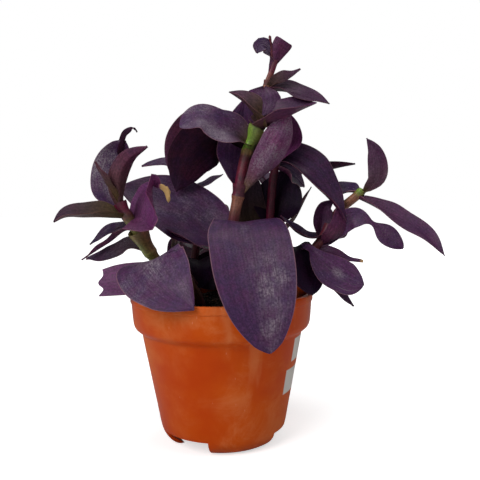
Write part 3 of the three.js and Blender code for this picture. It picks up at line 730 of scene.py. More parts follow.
# Every leafy stem, in millimetres and degrees. Its foot is where it stands in the soil. Its runs go
# from joint to joint, and each has tints at its start, middle and end: shares of tan and of green.
# A sheath has its length and how far it widens. A leaf has places along its rib, its full width, the
# direction that it points in, counted from +X through +Y, and its roll and fold at base, middle and
# tip. Where a leaf gives them, widest, neck, pinch, taper, blunt and sides shape its outline
leafyStems = {
    "stem_main": {
        "foot": (2, 6),
        "runs": [
            {"radius": 3.2, "points": [(2, 6, 79), (3, 4, 100), (6, 1, 119), (8, 0, 130),
                                       (10.5, 0, 142)]},
            {"radius": 3.2, "points": [(10.5, 0, 142), (13, 0, 156), (16.5, 0, 169)]},
            {"radius": 2.8, "points": [(16.5, 0, 169), (21, 0, 177), (26, 0, 186)]},
            {"radius": 1.9, "points": [(26, 0, 186), (26, 0, 196), (27.5, 0, 205)]},
            {"radius": 1.7, "points": [(27.5, 0, 205), (31, 0, 214), (33, 0, 220)]},
        ],
        "tints": [((0, 0), (0.1, 0), (0.6, 0)), ((0, 0), (0.1, 0), (0.9, 0.35)),
                  ((0.2, 1.1), (0.2, 1.1), (0.1, 1.0)), ((0, 0), (0, 0), (0.8, 0)),
                  ((0.4, 0), (0, 0), (0, 0))],
        "sheaths": {1: (14, 3.4), 3: (3, 0.4)},
        "leaves": [
            {  # hangs over the front of the pot
                "rib": [(6, 0, 117), (9, -10, 125), (13, -22, 128), (15, -36, 120), (17, -48, 105),
                        (20, -57, 86), (24, -59, 64)],
                "wide": 44, "heading": 270, "fold": (14, 5, 12), "taper": 3.2, "blunt": 0.15,
                "look": "dusty", "own": {"dust": 0.3, "shade": 0.12,
                                         "patches": ((0.4, 0.66, 0.42, 0.14, 1.3),
                                                     (0.2, 0.93, 0.5, 0.1, 1.0),
                                                     (-0.1, 0.3, 0.2, 0.1, 0.5))},
            },
            {  # broad, out to the left behind it
                "rib": [(8, 2, 106), (-4, 6, 118), (-18, 8, 130.5), (-36, 8, 140), (-60, 6, 148.5)],
                "wide": 43, "heading": 180, "roll": (-50, -55, -50), "fold": (40, 12, 12),
                "look": "dusty", "own": {"dust": 0.5,
                                         "patches": ((-0.2, 0.45, 0.5, 0.14, 0.8),
                                                     (0.5, 0.75, 0.4, 0.12, 0.7))},
            },
            {  # small, below the broad one
                "rib": [(6, 4, 103), (-9, -2, 112), (-31, -6, 124)],
                "wide": 20, "heading": 180, "fold": (30, 10, 10),
                "look": "wine",
            },
            {  # lilac, leans right in the middle
                "rib": [(14, -1.5, 144), (24, -8, 157), (32.5, -11.5, 172), (40, -9.5, 188)],
                "wide": 20, "heading": 290, "fold": (50, 20, 20), "widest": 0.58,
                "look": "lilac", "own": {"green": 0.8, "baseReach": 0.22, "young": 0.42, "dust": 2.2,
                                         "patches": ((0.0, 0.45, 1.0, 0.35, 1.0),)},
            },
            {  # upright, behind the stem
                "rib": [(9, 2, 146), (11, 8, 163), (14, 8, 181), (15, 4.5, 198.5)],
                "wide": 29, "heading": 90, "fold": (50, 20, 20), "sides": (1, 0.75),
                "look": "plum",
            },
            {  # arches left from the green joint
                "rib": [(18, 0, 170), (10, -4, 177), (-1, -8, 181), (-11, -10, 185),
                        (-22, -12, 181)],
                "wide": 26, "heading": 180, "roll": (-45, -50, -40), "fold": (50, 20, 15),
                "blunt": 0.35,
                "look": "dusty", "own": {"green": 0.9, "baseReach": 0.2, "dust": 1.5,
                                         "patches": ((0.2, 0.5, 0.7, 0.25, 0.7),)},
            },
            # inner side, dark with painted shade
            {  # dark inner side, hangs left
                "rib": [(16, 3, 168), (4, 8, 175), (-8, 9, 173), (-17, 9, 165), (-22, 9, 155),
                        (-26, 8, 145)],
                "wide": 31, "heading": 180, "roll": (20, 75, 90), "fold": (40, 10, 10),
                "look": "deepShaded", "own": {"shade": 1.0},
            },
            {  # hangs behind it
                "rib": [(16, 4, 168), (2, 13, 178), (-13, 17, 185), (-22.5, 17, 177), (-26, 16, 164),
                        (-26, 14, 149)],
                "wide": 21, "heading": 180, "roll": (10, 60, 80), "fold": (40, 10, 10),
                "look": "wine", "own": {"olive": 0.3},
            },
            {  # points right above the green joint
                "rib": [(22.6, -2, 179.5), (30, -7, 183), (38, -10, 186.5), (46, -11.5, 190.5),
                        (54.5, -12, 194)],
                "wide": 28, "heading": 0, "roll": (20, 22, 30), "fold": (50, 50, 25), "neck": -0.5,
                "taper": 2.2,
                "look": "wine", "own": {"green": 0.5, "baseReach": 0.3, "shade": 0.1},
            },
            {  # points left above the green joint
                "rib": [(24, -4, 181), (21, -8, 187.5), (14.8, -10, 194.5), (6, -10, 200.5)],
                "wide": 22, "heading": 180, "roll": (-20, -30, -20), "fold": (50, 38, 25),
                "neck": -0.3,
                "look": "wine", "own": {"olive": 0.75, "green": 0.9},
            },
            {  # hangs in front of the thin run
                "rib": [(26, -2, 203.5), (25.5, -4.5, 199), (24.5, -5, 192.5), (24, -5, 187)],
                "wide": 21, "heading": 270, "fold": (20, 5, 10),
                "look": "lilac", "own": {"young": 0.15, "dust": 0.7},
            },
            {  # points right below the tip
                "rib": [(28, 0, 202), (37, -2, 202), (46, -4, 200), (54, -5, 197), (63, -6, 194)],
                "wide": 20, "heading": 0, "roll": (20, 35, 30), "fold": (50, 15, 15),
                "look": "wine", "own": {"shade": 0.5, "dust": 0.1},
            },
            {  # narrow, above it
                "rib": [(29, -1, 204), (34, -3, 207), (40, -4, 209.5), (46.5, -5, 213.5)],
                "wide": 9.5, "heading": 0, "roll": (50, 60, 40), "fold": (60, 20, 20),
                "sides": (1.1, 0.5), "taper": 1.5,
                "look": "wine", "own": {"olive": 0.5, "green": 0.8, "shade": 0.5},
            },
            {  # curled, at the tip
                "rib": [(31, 0, 217), (30, -0.7, 222), (27.5, -2, 226.5), (24.5, -3.5, 227),
                        (22, -5, 222.5)],
                "wide": 9, "heading": 180, "roll": (0, -70, -80), "fold": (50, 10, 20), "taper": 4,
                "neck": 0.2, "widest": 0.6,
                "look": "grey",
            },
            {  # wine-coloured, at the tip
                "rib": [(30.5, 0, 211), (31.5, -0.5, 217), (34, -1.2, 224), (37.6, -2.5, 230)],
                "wide": 10.4, "heading": 0, "roll": (-60, -80, -80), "fold": (50, 20, 20),
                "sides": (1.25, 1), "neck": 0.36, "widest": 0.95, "blunt": 0.85,
                "look": "wine",
            },
        ],
        "bracts": [{"radius": 0.8, "points": [(30.6, -0.8, 219), (30.4, -1.5, 227), (29.4, -2, 233)]}],
    },
    "stem_left": {
        "foot": (-22, 2),
        "runs": [
            {"radius": 3.2, "points": [(-22, 2, 79), (-25, 2, 88), (-33, 0, 99), (-41, -5, 111)]},
            {"radius": 3.4, "points": [(-41, -5, 111), (-47, -11, 124), (-53, -15, 134)]},
            {"radius": 2.6, "points": [(-53, -15, 134), (-56, -15, 140)]},
        ],
        "tints": [((0.3, 0.2), (0.5, 0.3), (0.3, 0.5)), ((0.3, 0.5), (0.1, 0.3), (0, 0.1)),
                  ((0, 0), (0, 0), (0, 0))],
        "sheaths": {0: (17, 2.0)},
        "leaves": [
            {  # points left
                "rib": [(-52, -15, 131), (-61, -18, 132), (-74, -20, 132.5), (-84, -21, 132.5),
                        (-91, -22, 130)],
                "wide": 20, "heading": 180, "roll": (-15, -25, -20), "fold": (60, 45, 30),
                "taper": 4,
                "look": "olive",
            },
            {  # tall and dusty
                "rib": [(-56, -13, 134), (-62.5, -8, 145), (-62.5, -6, 157), (-58, -6, 167),
                        (-53, -8, 174)],
                "wide": 20, "heading": 100, "fold": (40, 5, 10), "taper": 3.4, "blunt": 0.3,
                "look": "lilac", "own": {"young": 0.1, "dust": 2.0},
            },
            {  # upright, in front of it
                "rib": [(-55, -15, 134), (-56, -19, 149), (-51, -20, 162), (-39, -22, 170)],
                "wide": 14, "heading": 290, "fold": (60, 40, 30),
                "look": "wine", "own": {"olive": 0.45},
            },
            {  # narrow, beside it
                "rib": [(-56, -16, 139), (-61, -21, 150), (-67, -24, 162)],
                "wide": 6, "heading": 230, "fold": (60, 30, 20),
                "look": "olive",
            },
            # dark with painted shade
            {  # curled dark end of the tall one
                "rib": [(-57, -6, 166), (-55, -8, 174), (-52, -9, 179), (-47.5, -10, 180.5),
                        (-46, -10, 178.5)],
                "wide": 4, "heading": 250, "fold": (20, 15, 10),
                "look": "deepShaded",
            },
            {  # magenta, folded
                "rib": [(-48.4, -14, 131), (-45.6, -18, 139), (-41.3, -22, 145.8), (-36, -25, 149),
                        (-31, -26, 147.5)],
                "wide": 34, "heading": 60, "fold": (30, 25, 20), "sides": (0.25, 1.2), "widest": 0.3,
                "neck": -0.6,
                "look": "young", "own": {"young": 0.42, "creaseShade": 0.9},
            },
            {  # its dried tip
                "rib": [(-33, -26, 148), (-29.5, -27.5, 145.5), (-28, -26.5, 141)],
                "wide": 10, "heading": 0, "fold": (30, 40, 20), "blunt": 0.5,
                "look": "young", "own": {"dry": 1.0, "dryFrom": 0.2, "ragged": 4.0},
            },
            {  # upper of three that droop left
                "rib": [(-49, -13, 126), (-65, 0, 123), (-77, 4, 115)],
                "wide": 9, "heading": 180, "roll": (-40, -40, -40), "fold": (50, 20, 20),
                "look": "grey",
            },
            {  # middle of the three
                "rib": [(-45, -9, 120), (-54, -4, 124), (-66, 0, 116), (-82, 4, 106)],
                "wide": 7, "heading": 180, "fold": (60, 60, 40),
                "look": "wine",
            },
            {  # lower of the three
                "rib": [(-41, -5, 110), (-53, 0, 114), (-65, 3, 109), (-80, 8, 106)],
                "wide": 13, "heading": 180, "roll": (-40, -40, -40), "fold": (50, 20, 20),
                "look": "grey", "own": {"olive": 0.3, "green": 0.5},
            },
        ],
    },
    "stem_front_left": {
        "foot": (-12, -8),
        "runs": [
            {"radius": 2.7, "points": [(-12, -8, 79), (-14, -10, 86), (-20, -12, 97),
                                       (-25, -7, 106)]},
            {"radius": 2.4, "points": [(-25, -7, 106), (-27, 4, 112), (-26, 16, 120), (-20, 27, 138),
                                       (-18, 29, 150)]},
        ],
        "tints": [((0.1, 0), (0.3, 0.2), (0.4, 0.3)), ((0.1, 0.1), (0.1, 0), (0.1, 0))],
        "leaves": [
            {  # broad, over the rim at the front left
                "rib": [(-21, -11, 99), (-32, -20, 108), (-38, -31, 108), (-29, -46, 98),
                        (-14, -55, 86)],
                "wide": 40, "heading": 270, "roll": (14, 24, 4), "fold": (25, 5, 12), "neck": 0.12,
                "look": "dusty", "own": {"patches": ((0.1, 0.45, 0.5, 0.2, 0.9),
                                                     (0.5, 0.8, 0.3, 0.1, 0.5))},
            },
            {  # torn, below it
                "rib": [(-20, -12, 95), (-31, -18, 96.5), (-46, -20, 97.5), (-66, -20, 95.5)],
                "wide": 20, "heading": 180, "roll": (-60, -60, -60), "fold": (40, 10, 10),
                "blunt": 0.8,
                "look": "young", "own": {"young": 0.4, "ragged": 5.0},
            },
            {  # points left, behind
                "rib": [(-18, 29, 149), (-24, 30, 158), (-36, 33, 163), (-49, 34, 161)],
                "wide": 13, "heading": 180, "roll": (-30, -30, -30), "fold": (50, 20, 20),
                "look": "grey",
            },
            {  # small, across from it
                "rib": [(-18, 29, 144), (-8, 30, 150), (2, 32, 155.5)],
                "wide": 8, "heading": 0, "roll": (20, 30, 30), "fold": (50, 20, 20),
                "look": "grey",
            },
        ],
    },
    "stem_right": {
        "foot": (30, -6),
        "runs": [
            {"radius": 2.8, "points": [(30, -6, 79), (34, -5, 86), (44, -2, 98), (57, -3, 114),
                                       (60, -3, 118)]},
            {"radius": 2.6, "points": [(60, -3, 118), (69, 1, 132), (79, -2, 141), (83, -4, 145)]},
        ],
        "tints": [((0, 0), (0.1, 0), (0.2, 0)), ((0.1, 0), (0.7, 0.05), (0.3, 0.9))],
        "stemShade": 0.3,
        "leaves": [
            {  # long, arches down to the right
                "rib": [(80, -3, 140), (88, -8, 136), (100, -14, 129), (109.5, -18, 123),
                        (118, -22, 115), (124, -24, 108)],
                "wide": 17, "heading": 0, "roll": (30, 42, 40), "fold": (50, 18, 20), "taper": 3.6,
                "look": "wine", "own": {"dust": 0.5, "shade": 0.1},
            },
            {  # upright, at the tip
                "rib": [(83, -4, 143), (90, -6, 150), (91, -6, 158), (89, -6, 167), (84, -6, 174)],
                "wide": 12.5, "heading": 60, "fold": (50, 20, 20),
                "look": "wine", "own": {"olive": 0.3, "dust": 0.6, "green": 0.8},
            },
            {  # short, behind the tip
                "rib": [(81, -3, 143), (73, 8, 145), (62, 14, 145)],
                "wide": 13, "heading": 160, "roll": (-30, -40, -40), "fold": (50, 15, 20),
                "look": "grey",
            },
            {  # pinched in the middle
                "rib": [(58, -3, 112), (66, -6, 121), (74, -10, 128.5), (81, -12, 128.5),
                        (86.3, -13, 125.7), (96, -14, 117.5), (103.5, -14, 111.5)],
                "wide": 12.5, "heading": 0, "roll": (85, 80, 95), "fold": (30, 10, 10),
                "pinch": 0.78, "taper": 5, "blunt": 0.65,
                "look": "plum",
            },
            {  # round, over the rim
                "rib": [(48, -2.6, 103), (47, -9, 112.5), (50.9, -14, 111.5), (55.6, -19, 105.8),
                        (62.2, -22, 99.5), (69.9, -24, 95.4), (78.4, -25, 92.2)],
                "wide": 21, "heading": 340, "roll": (25, 50, 50), "fold": (40, 10, 10),
                "blunt": 0.65, "taper": 5, "neck": 0.36, "widest": 0.7,
                # its patch across the middle is a painted sheen
                "look": "dusty", "own": {"dust": 0.8, "patches": ((0.1, 0.7, 0.2, 0.07, 1.6),)},
            },
            {  # narrow, below the round one
                "rib": [(44, -2, 98), (58, -4, 97), (68, -6, 87), (76.5, -8, 77.5)],
                "wide": 9.5, "heading": 0, "roll": (40, 50, 50), "fold": (50, 20, 10),
                "look": "wine", "own": {"shade": 0.5},
            },
            {  # dry at its tip
                "rib": [(55, -3, 110), (63, -8, 109), (71, -10, 106), (81, -12, 104)],
                "wide": 9, "heading": 0, "roll": (40, 40, 30), "fold": (50, 20, 20), "widest": 0.3,
                "taper": 1.4, "blunt": 0.12,
                "look": "wine", "own": {"dry": 0.8, "dryFrom": 0.93},
            },
            {  # thin, toward the middle
                "rib": [(60, -3, 118), (51, -8, 118), (43, -12, 122), (34, -16, 131)],
                "wide": 9, "heading": 180, "roll": (-20, -30, -20), "fold": (60, 40, 30),
                "look": "grey", "own": {"shade": 0.5},
            },
            # dark with painted shade
            {  # dark, hangs down at the rim
                "rib": [(40, -2, 94), (42, -7, 112.5), (45, -12, 109.5), (48, -19, 98),
                        (49.5, -26.5, 87.8)],
                "wide": 20, "heading": 300, "fold": (50, 15, 15), "sides": (1, 1.9), "taper": 4,
                "blunt": 0.5,
                "look": "deepShaded", "own": {"shade": 1.0, "dust": 0},
            },
            {  # stands by the stem
                "rib": [(58, -3, 115), (59, -2, 126), (61, -3, 136), (66, -5, 139)],
                "wide": 13, "heading": 90, "fold": (60, 30, 30),
                "look": "wine", "own": {"shade": 0.5},
            },
            {  # folds round the stem
                "rib": [(58, -3, 113), (65, -9, 118), (68, -11, 126), (65, -12, 134)],
                "wide": 16, "heading": 290, "fold": (50, 15, 20),
                "look": "wine", "own": {"shade": 0.3},
            },
        ],
    },
    "stem_back_centre": {
        "foot": (20, 16),
        "runs": [
            {"radius": 2.6, "points": [(20, 16, 79), (24, 14, 88), (29, 11, 115), (30, 10, 132),
                                       (32, 9, 154), (34, 8, 163)]},
        ],
        "tints": [((0, 0), (0, 0), (0, 0))],
        "stemShade": 0.75,
        "leaves": [
            {  # long, arches over to the right
                "rib": [(26, 14, 156), (33, 12, 163), (42, 7, 160.5), (51, -4, 152.5),
                        (62, -11, 140), (71, -15, 127)],
                "wide": 34, "heading": 340, "roll": (35, 25, 0), "fold": (50, 38, 30),
                "sides": (1.05, 0.7), "taper": 2.2, "neck": -0.15,
                "look": "plum", "own": {"shade": 0.6, "dust": 0.5},
            },
            {  # magenta, upright at the top
                "rib": [(34, 9, 160), (41, 12, 175), (41, 10, 191)],
                "wide": 22, "heading": 60, "fold": (50, 20, 20),
                "look": "young", "own": {"young": 0.7},
            },
            {  # to the right, behind it
                "rib": [(33, 9, 158), (41, 12, 155), (51, 15, 147)],
                "wide": 22, "heading": 20, "roll": (20, 45, 45), "fold": (50, 20, 20),
                "look": "grey", "own": {"shade": 0.15},
            },
            # black with painted shade
            {  # black behind the middle
                "rib": [(30, 11, 120), (34, 14, 134), (38, 17, 148), (40, 18, 158)],
                "wide": 31, "heading": 75, "fold": (50, 15, 20),
                "look": "deepShaded", "own": {"shade": 1.0, "dust": 0},
            },
            {  # olive, left of it
                "rib": [(29, 12, 114), (19, 13, 126), (17, 13, 140), (20, 13, 154)],
                "wide": 22, "heading": 110, "fold": (50, 20, 20), "blunt": 0.3,
                "look": "olive", "own": {"shade": 0.7},
            },
        ],
    },
    "stem_back_left": {
        "foot": (-16, 26),
        "runs": [
            {"radius": 2.7, "points": [(-16, 26, 79), (-17, 28, 95), (-15, 33, 112)]},
            {"radius": 2.3, "points": [(-15, 33, 112), (-12, 40, 122), (-11, 46, 132)]},
        ],
        "stemShade": 0.5,
        "leaves": [
            {  # droops to the back left
                "rib": [(-16, 27, 87), (-30, 40, 92), (-44, 52, 88), (-52, 60, 74)],
                "wide": 34, "heading": 140, "fold": (40, 15, 15),
            },
            {  # in the shade at the front
                "rib": [(-16, 26, 90), (-13, 16, 103), (-12, 4, 101), (-11, -8, 90)],
                "wide": 22, "heading": 300, "fold": (45, 20, 15),
                "look": "deepShaded", "own": {"shade": 1.0, "dust": 0},
            },
            {  # in the shade at the right
                "rib": [(-15, 27, 86), (-9, 22, 94), (0, 21, 94), (8, 21, 86)],
                "wide": 30, "heading": 350, "roll": (30, 50, 50), "fold": (45, 15, 15),
                "look": "deepShaded", "own": {"shade": 1.0, "dust": 0},
            },
            {  # hangs over the back
                "rib": [(-15, 31, 104), (-18, 50, 110), (-21, 66, 99), (-23, 76, 76)],
                "wide": 34, "heading": 105, "fold": (40, 10, 15),
                "look": "plum", "own": {"shade": 0.5},
            },
            {  # to the right
                "rib": [(-15, 32, 110), (2, 42, 114), (14, 52, 104)],
                "wide": 26, "heading": 40, "fold": (45, 20, 20),
            },
            {  # at the top, to the left
                "rib": [(-11, 45, 130), (-22, 54, 136), (-33, 60, 128)],
                "wide": 22, "heading": 140, "fold": (50, 25, 20),
            },
            {  # at the top, to the back
                "rib": [(-11, 45, 130), (-5, 58, 132), (-2, 70, 120)],
                "wide": 22, "heading": 70, "fold": (50, 25, 20),
            },
        ],
    },
    "stem_back_right": {
        "foot": (14, 34),
        "runs": [
            {"radius": 2.7, "points": [(14, 34, 79), (18, 36, 96), (24, 36, 114)]},
            {"radius": 2.3, "points": [(24, 36, 114), (28, 34, 134), (31, 32, 150)]},
        ],
        "stemShade": 0.5,
        "leaves": [
            {  # droops to the back right
                "rib": [(15, 34, 88), (34, 44, 98), (50, 50, 90), (60, 54, 72)],
                "wide": 34, "heading": 30, "fold": (40, 15, 15),
            },
            {  # hangs over the back
                "rib": [(22, 36, 108), (24, 54, 118), (24, 70, 108), (22, 80, 82)],
                "wide": 38, "heading": 90, "fold": (40, 10, 15),
            },
            {  # thin, rises to the right
                "rib": [(24, 36, 112), (36, 33, 116), (46, 31, 126), (57, 30, 147)],
                "wide": 10, "heading": 350, "fold": (50, 30, 20),
                "look": "olive", "own": {"shade": 0.6},
            },
            {  # level, points right
                "rib": [(31, 32, 148), (50, 31, 156), (85, 30, 161)],
                "wide": 10, "heading": 0, "roll": (-45, -45, -45), "fold": (50, 30, 20),
                "look": "deepShaded",
            },
            {  # at the top, to the left
                "rib": [(31, 32, 147), (20, 40, 158), (8, 48, 152)],
                "wide": 20, "heading": 150, "fold": (50, 25, 20),
            },
            {  # at the top, to the back
                "rib": [(31, 32, 147), (34, 48, 156), (34, 64, 144)],
                "wide": 26, "heading": 85, "fold": (50, 20, 20),
            },
        ],
    },
}

for number, (node, plant) in enumerate(leafyStems.items()):
    shoot = makeShoot(node.replace("stem", "shoot"), plant, number * 100 + 7)
    keepInside(shoot)
    only(shoot)
    bpy.ops.object.shade_smooth_by_angle(angle=math.radians(leafShape["smoothAngle"]))
    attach(shoot, "root")
    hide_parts(node)
    print(f"{shoot.name}: {len(shoot.data.polygons)} faces")


# Pot, in millimetres
potShape = {
    "around": 144,
    "rim": 53.1,
    "height": 86.7,
    "notchHeight": 8.6,
    "notchAngle": 49,
    "notchCentres": (-128.5, -13.5, 114),  # degrees about the axis
    "notchInner": 25.0,
    "notchOuter": 46.0,
    "floorUnderside": 8.8,
    "floorTop": 10.6,
    "drainRadius": 3.5,
    "drainRing": 21,
    "drains": 4,
    "firstDrain": 45,        # degrees about the axis
    "softEdge": 0.25,
    "sharpFrom": 50,         # edges sharper than this are softened
    "smoothAngle": 32,
}
axisHole = 0.4  # the last small ring, filled, where a profile meets the axis


def arc(cx, cz, radius, start, end, steps):
    # Points of a round corner, angles in degrees from the outward side
    angles = [math.radians(lerp(start, end, i / steps)) for i in range(steps + 1)]
    return [(cx + radius * math.cos(angle), cz + radius * math.sin(angle)) for angle in angles]


def turnedShell(name, profile, around):
    # A ring extruded and scaled from one profile point to the next, as on a lathe
    startObject()
    first, height = profile[0]
    bpy.ops.mesh.primitive_circle_add(vertices=around, radius=first * mm, location=(0, 0, height * mm))
    shell = bpy.context.object
    shell.name = name
    bpy.ops.object.transform_apply(location=True, rotation=True, scale=True)
    bpy.ops.object.mode_set(mode="EDIT")
    bpy.ops.mesh.select_all(action="SELECT")
    for (r0, z0), (r1, z1) in zip(profile, profile[1:]):
        bpy.ops.mesh.extrude_region_move(TRANSFORM_OT_translate={"value": (0, 0, (z1 - z0) * mm)})
        bpy.ops.transform.resize(value=(r1 / r0, r1 / r0, 1), center_override=(0, 0, z1 * mm))
    bpy.ops.mesh.select_all(action="SELECT")
    bpy.ops.mesh.remove_doubles(threshold=0.01 * mm)
    bpy.ops.mesh.select_all(action="DESELECT")
    bpy.ops.mesh.select_non_manifold()
    bpy.ops.mesh.fill_holes(sides=0)
    bpy.ops.mesh.select_all(action="SELECT")
    bpy.ops.mesh.normals_make_consistent(inside=False)
    bpy.ops.object.mode_set(mode="OBJECT")
    return shell


def potProfile():
    # From the axis underneath, round the foot, up the outside, over the lip and down the inside
    rim, top = potShape["rim"], potShape["height"]
    under, floor = potShape["floorUnderside"], potShape["floorTop"]
    centre = [(axisHole, 0), (5.6, 0), (6.2, 0.4), (7.5, under)]
    footInside = [(33.6, under), (34.3, 8.4), (32.4, 4.9), (28.8, 2.2), (25.6, 0.2), (25.9, 0)]
    footOutside = [(27.6, 0), (28.5, 0.25), (30.0, 0.85), (31.5, 1.7), (33.2, 3.1), (34.5, 4.6),
                   (35.6, 6.4), (36.4, 8.6), (36.9, 10.6)]
    body = [(37.2, 12), (39.0, 22), (40.9, 32), (42.7, 42), (44.6, 52), (46.2, 60.8), (46.6, 63.4),
            (46.9, 64.4)]
    collar = [(47.6, 65.2), (49.2, 66.3), (50.4, 67.4), (51.1, 68.6), (51.5, 70.2), (51.9, 74),
              (52.3, 79.6), (52.45, 81.6), (52.5, 82.1)]
    lip = arc(rim - 0.55, 82.75, 0.55, -80, 0, 3) + arc(rim - 0.9, top - 0.9, 0.9, 0, 90, 5)
    lip += arc(rim - 2.3, top - 0.7, 0.7, 90, 180, 3)
    collarInside = [(50.0, 84.6), (49.7, 82), (49.9, 78), (49.9, 71.5), (49.4, 69.6), (47.6, 67.6),
                    (45.5, 65.8), (45.0, 64.2)]
    bodyInside = [(40.4, 40), (36.3, 16.6), (35.6, 14.2), (34.4, 12.2), (32.9, 11), (31.2, 10.65),
                  (axisHole, floor)]
    return centre + footInside + footOutside + body + collar + lip + collarInside + bodyInside


def cutAway(piece, cutters):
    cutter = joinPieces("cutter", cutters)
    cut = piece.modifiers.new("openings", "BOOLEAN")
    cut.operation = "DIFFERENCE"
    cut.solver = "EXACT"
    cut.object = cutter
    applyModifiers(piece)
    bpy.data.objects.remove(cutter)


def notchCutter(centre):
    # A block that spreads outwards, through the foot ring only
    startObject()
    bpy.ops.mesh.primitive_cube_add(size=2)
    block = bpy.context.object
    spread = math.radians(potShape["notchAngle"] / 2)
    turn = Matrix.Rotation(math.radians(centre), 4, "Z")
    for vertex in block.data.vertices:
        far = potShape["notchOuter"] if vertex.co.x > 0 else potShape["notchInner"]
        high = potShape["notchHeight"] if vertex.co.z > 0 else -3
        across = math.copysign(far * math.sin(spread), vertex.co.y)
        vertex.co = turn @ (Vector((far * math.cos(spread), across, high)) * mm)
    return block


def drainCutter(i):
    angle = math.radians(potShape["firstDrain"] + 360 * i / potShape["drains"])
    ring = potShape["drainRing"] * mm
    place = (ring * math.cos(angle), ring * math.sin(angle), 6 * mm)
    startObject()
    bpy.ops.mesh.primitive_cylinder_add(vertices=32, radius=potShape["drainRadius"] * mm,
                                        depth=18 * mm, location=place)
    bpy.ops.object.transform_apply(location=True, rotation=True, scale=True)
    return bpy.context.object


def makePot():
    pot = turnedShell("pot_shell", potProfile(), potShape["around"])
    print(f"pot shell turned: {len(pot.data.polygons)} faces")
    cutAway(pot, [notchCutter(centre) for centre in potShape["notchCentres"]])
    print(f"notches cut: {len(pot.data.polygons)} faces")
    cutAway(pot, [drainCutter(i) for i in range(potShape["drains"])])
    soften = pot.modifiers.new("softEdges", "BEVEL")
    soften.width = potShape["softEdge"] * mm
    soften.segments = 2
    soften.limit_method = "ANGLE"
    soften.angle_limit = math.radians(potShape["sharpFrom"])
    applyModifiers(pot)
    only(pot)
    bpy.ops.object.shade_smooth_by_angle(angle=math.radians(potShape["smoothAngle"]))
    return pot


# The pot's plastic: two close oranges under pale haze and runs, partly scuffs and old water and
# partly painted sheen, nicks, darker towards the foot, and painted shade inside the collar above the soil
plastic = {
    "orange": srgb(180, 60, 2),
    "paleOrange": srgb(192, 78, 8),
    "hazeAndSheen": srgb(208, 130, 82),
    "hazeAndSheenShare": 0.4,
    "nick": srgb(222, 166, 136),
    "nickShare": 0.3,
    # darker towards the foot, fading out at this height
    "footDarkening": srgb(92, 48, 28),
    "footDarkeningShare": 0.55,
    "footDarkeningHeight": 9 * mm,
    # Painted shade on the inner wall of the collar, from below the lip down to the soil
    "collarShade": srgb(40, 26, 20),
    "collarShadeRadius": (50.9 * mm, 50.0 * mm),   # where the dirt inside the collar starts and is full
    "collarShadeTop": (85.5 * mm, 81 * mm),
    "collarShadeFoot": (71 * mm, 73 * mm),
    "patch": srgb(206, 202, 196),
    # Blank white patches on the right: start and end about the axis in degrees, bottom and top in mm
    "patches": ((-30, 3, 49, 63.2), (-35.5, 3, 30.5, 45.5)),
    "patchEdge": (1, 0.7),   # degrees and mm that a patch takes to fade
}


def drawnUp(tree, place, share):
    # Coordinates that make a pattern longer up the pot
    scale = (1.0, 1.0, share)
    return addNode(tree, "ShaderNodeMapping", {"Vector": place, "Scale": scale}).outputs["Vector"]


def patchShare(tree, turn, height, patch):
    start, end, low, high = patch
    fade, edge = plastic["patchEdge"]
    sides = times(tree, mask(tree, turn, math.radians(start), math.radians(start + fade)),
                  mask(tree, turn, math.radians(end), math.radians(end - fade)))
    ends = times(tree, mask(tree, height, low * mm, (low + edge) * mm),
                 mask(tree, height, high * mm, (high - edge) * mm))
    return times(tree, sides, ends)


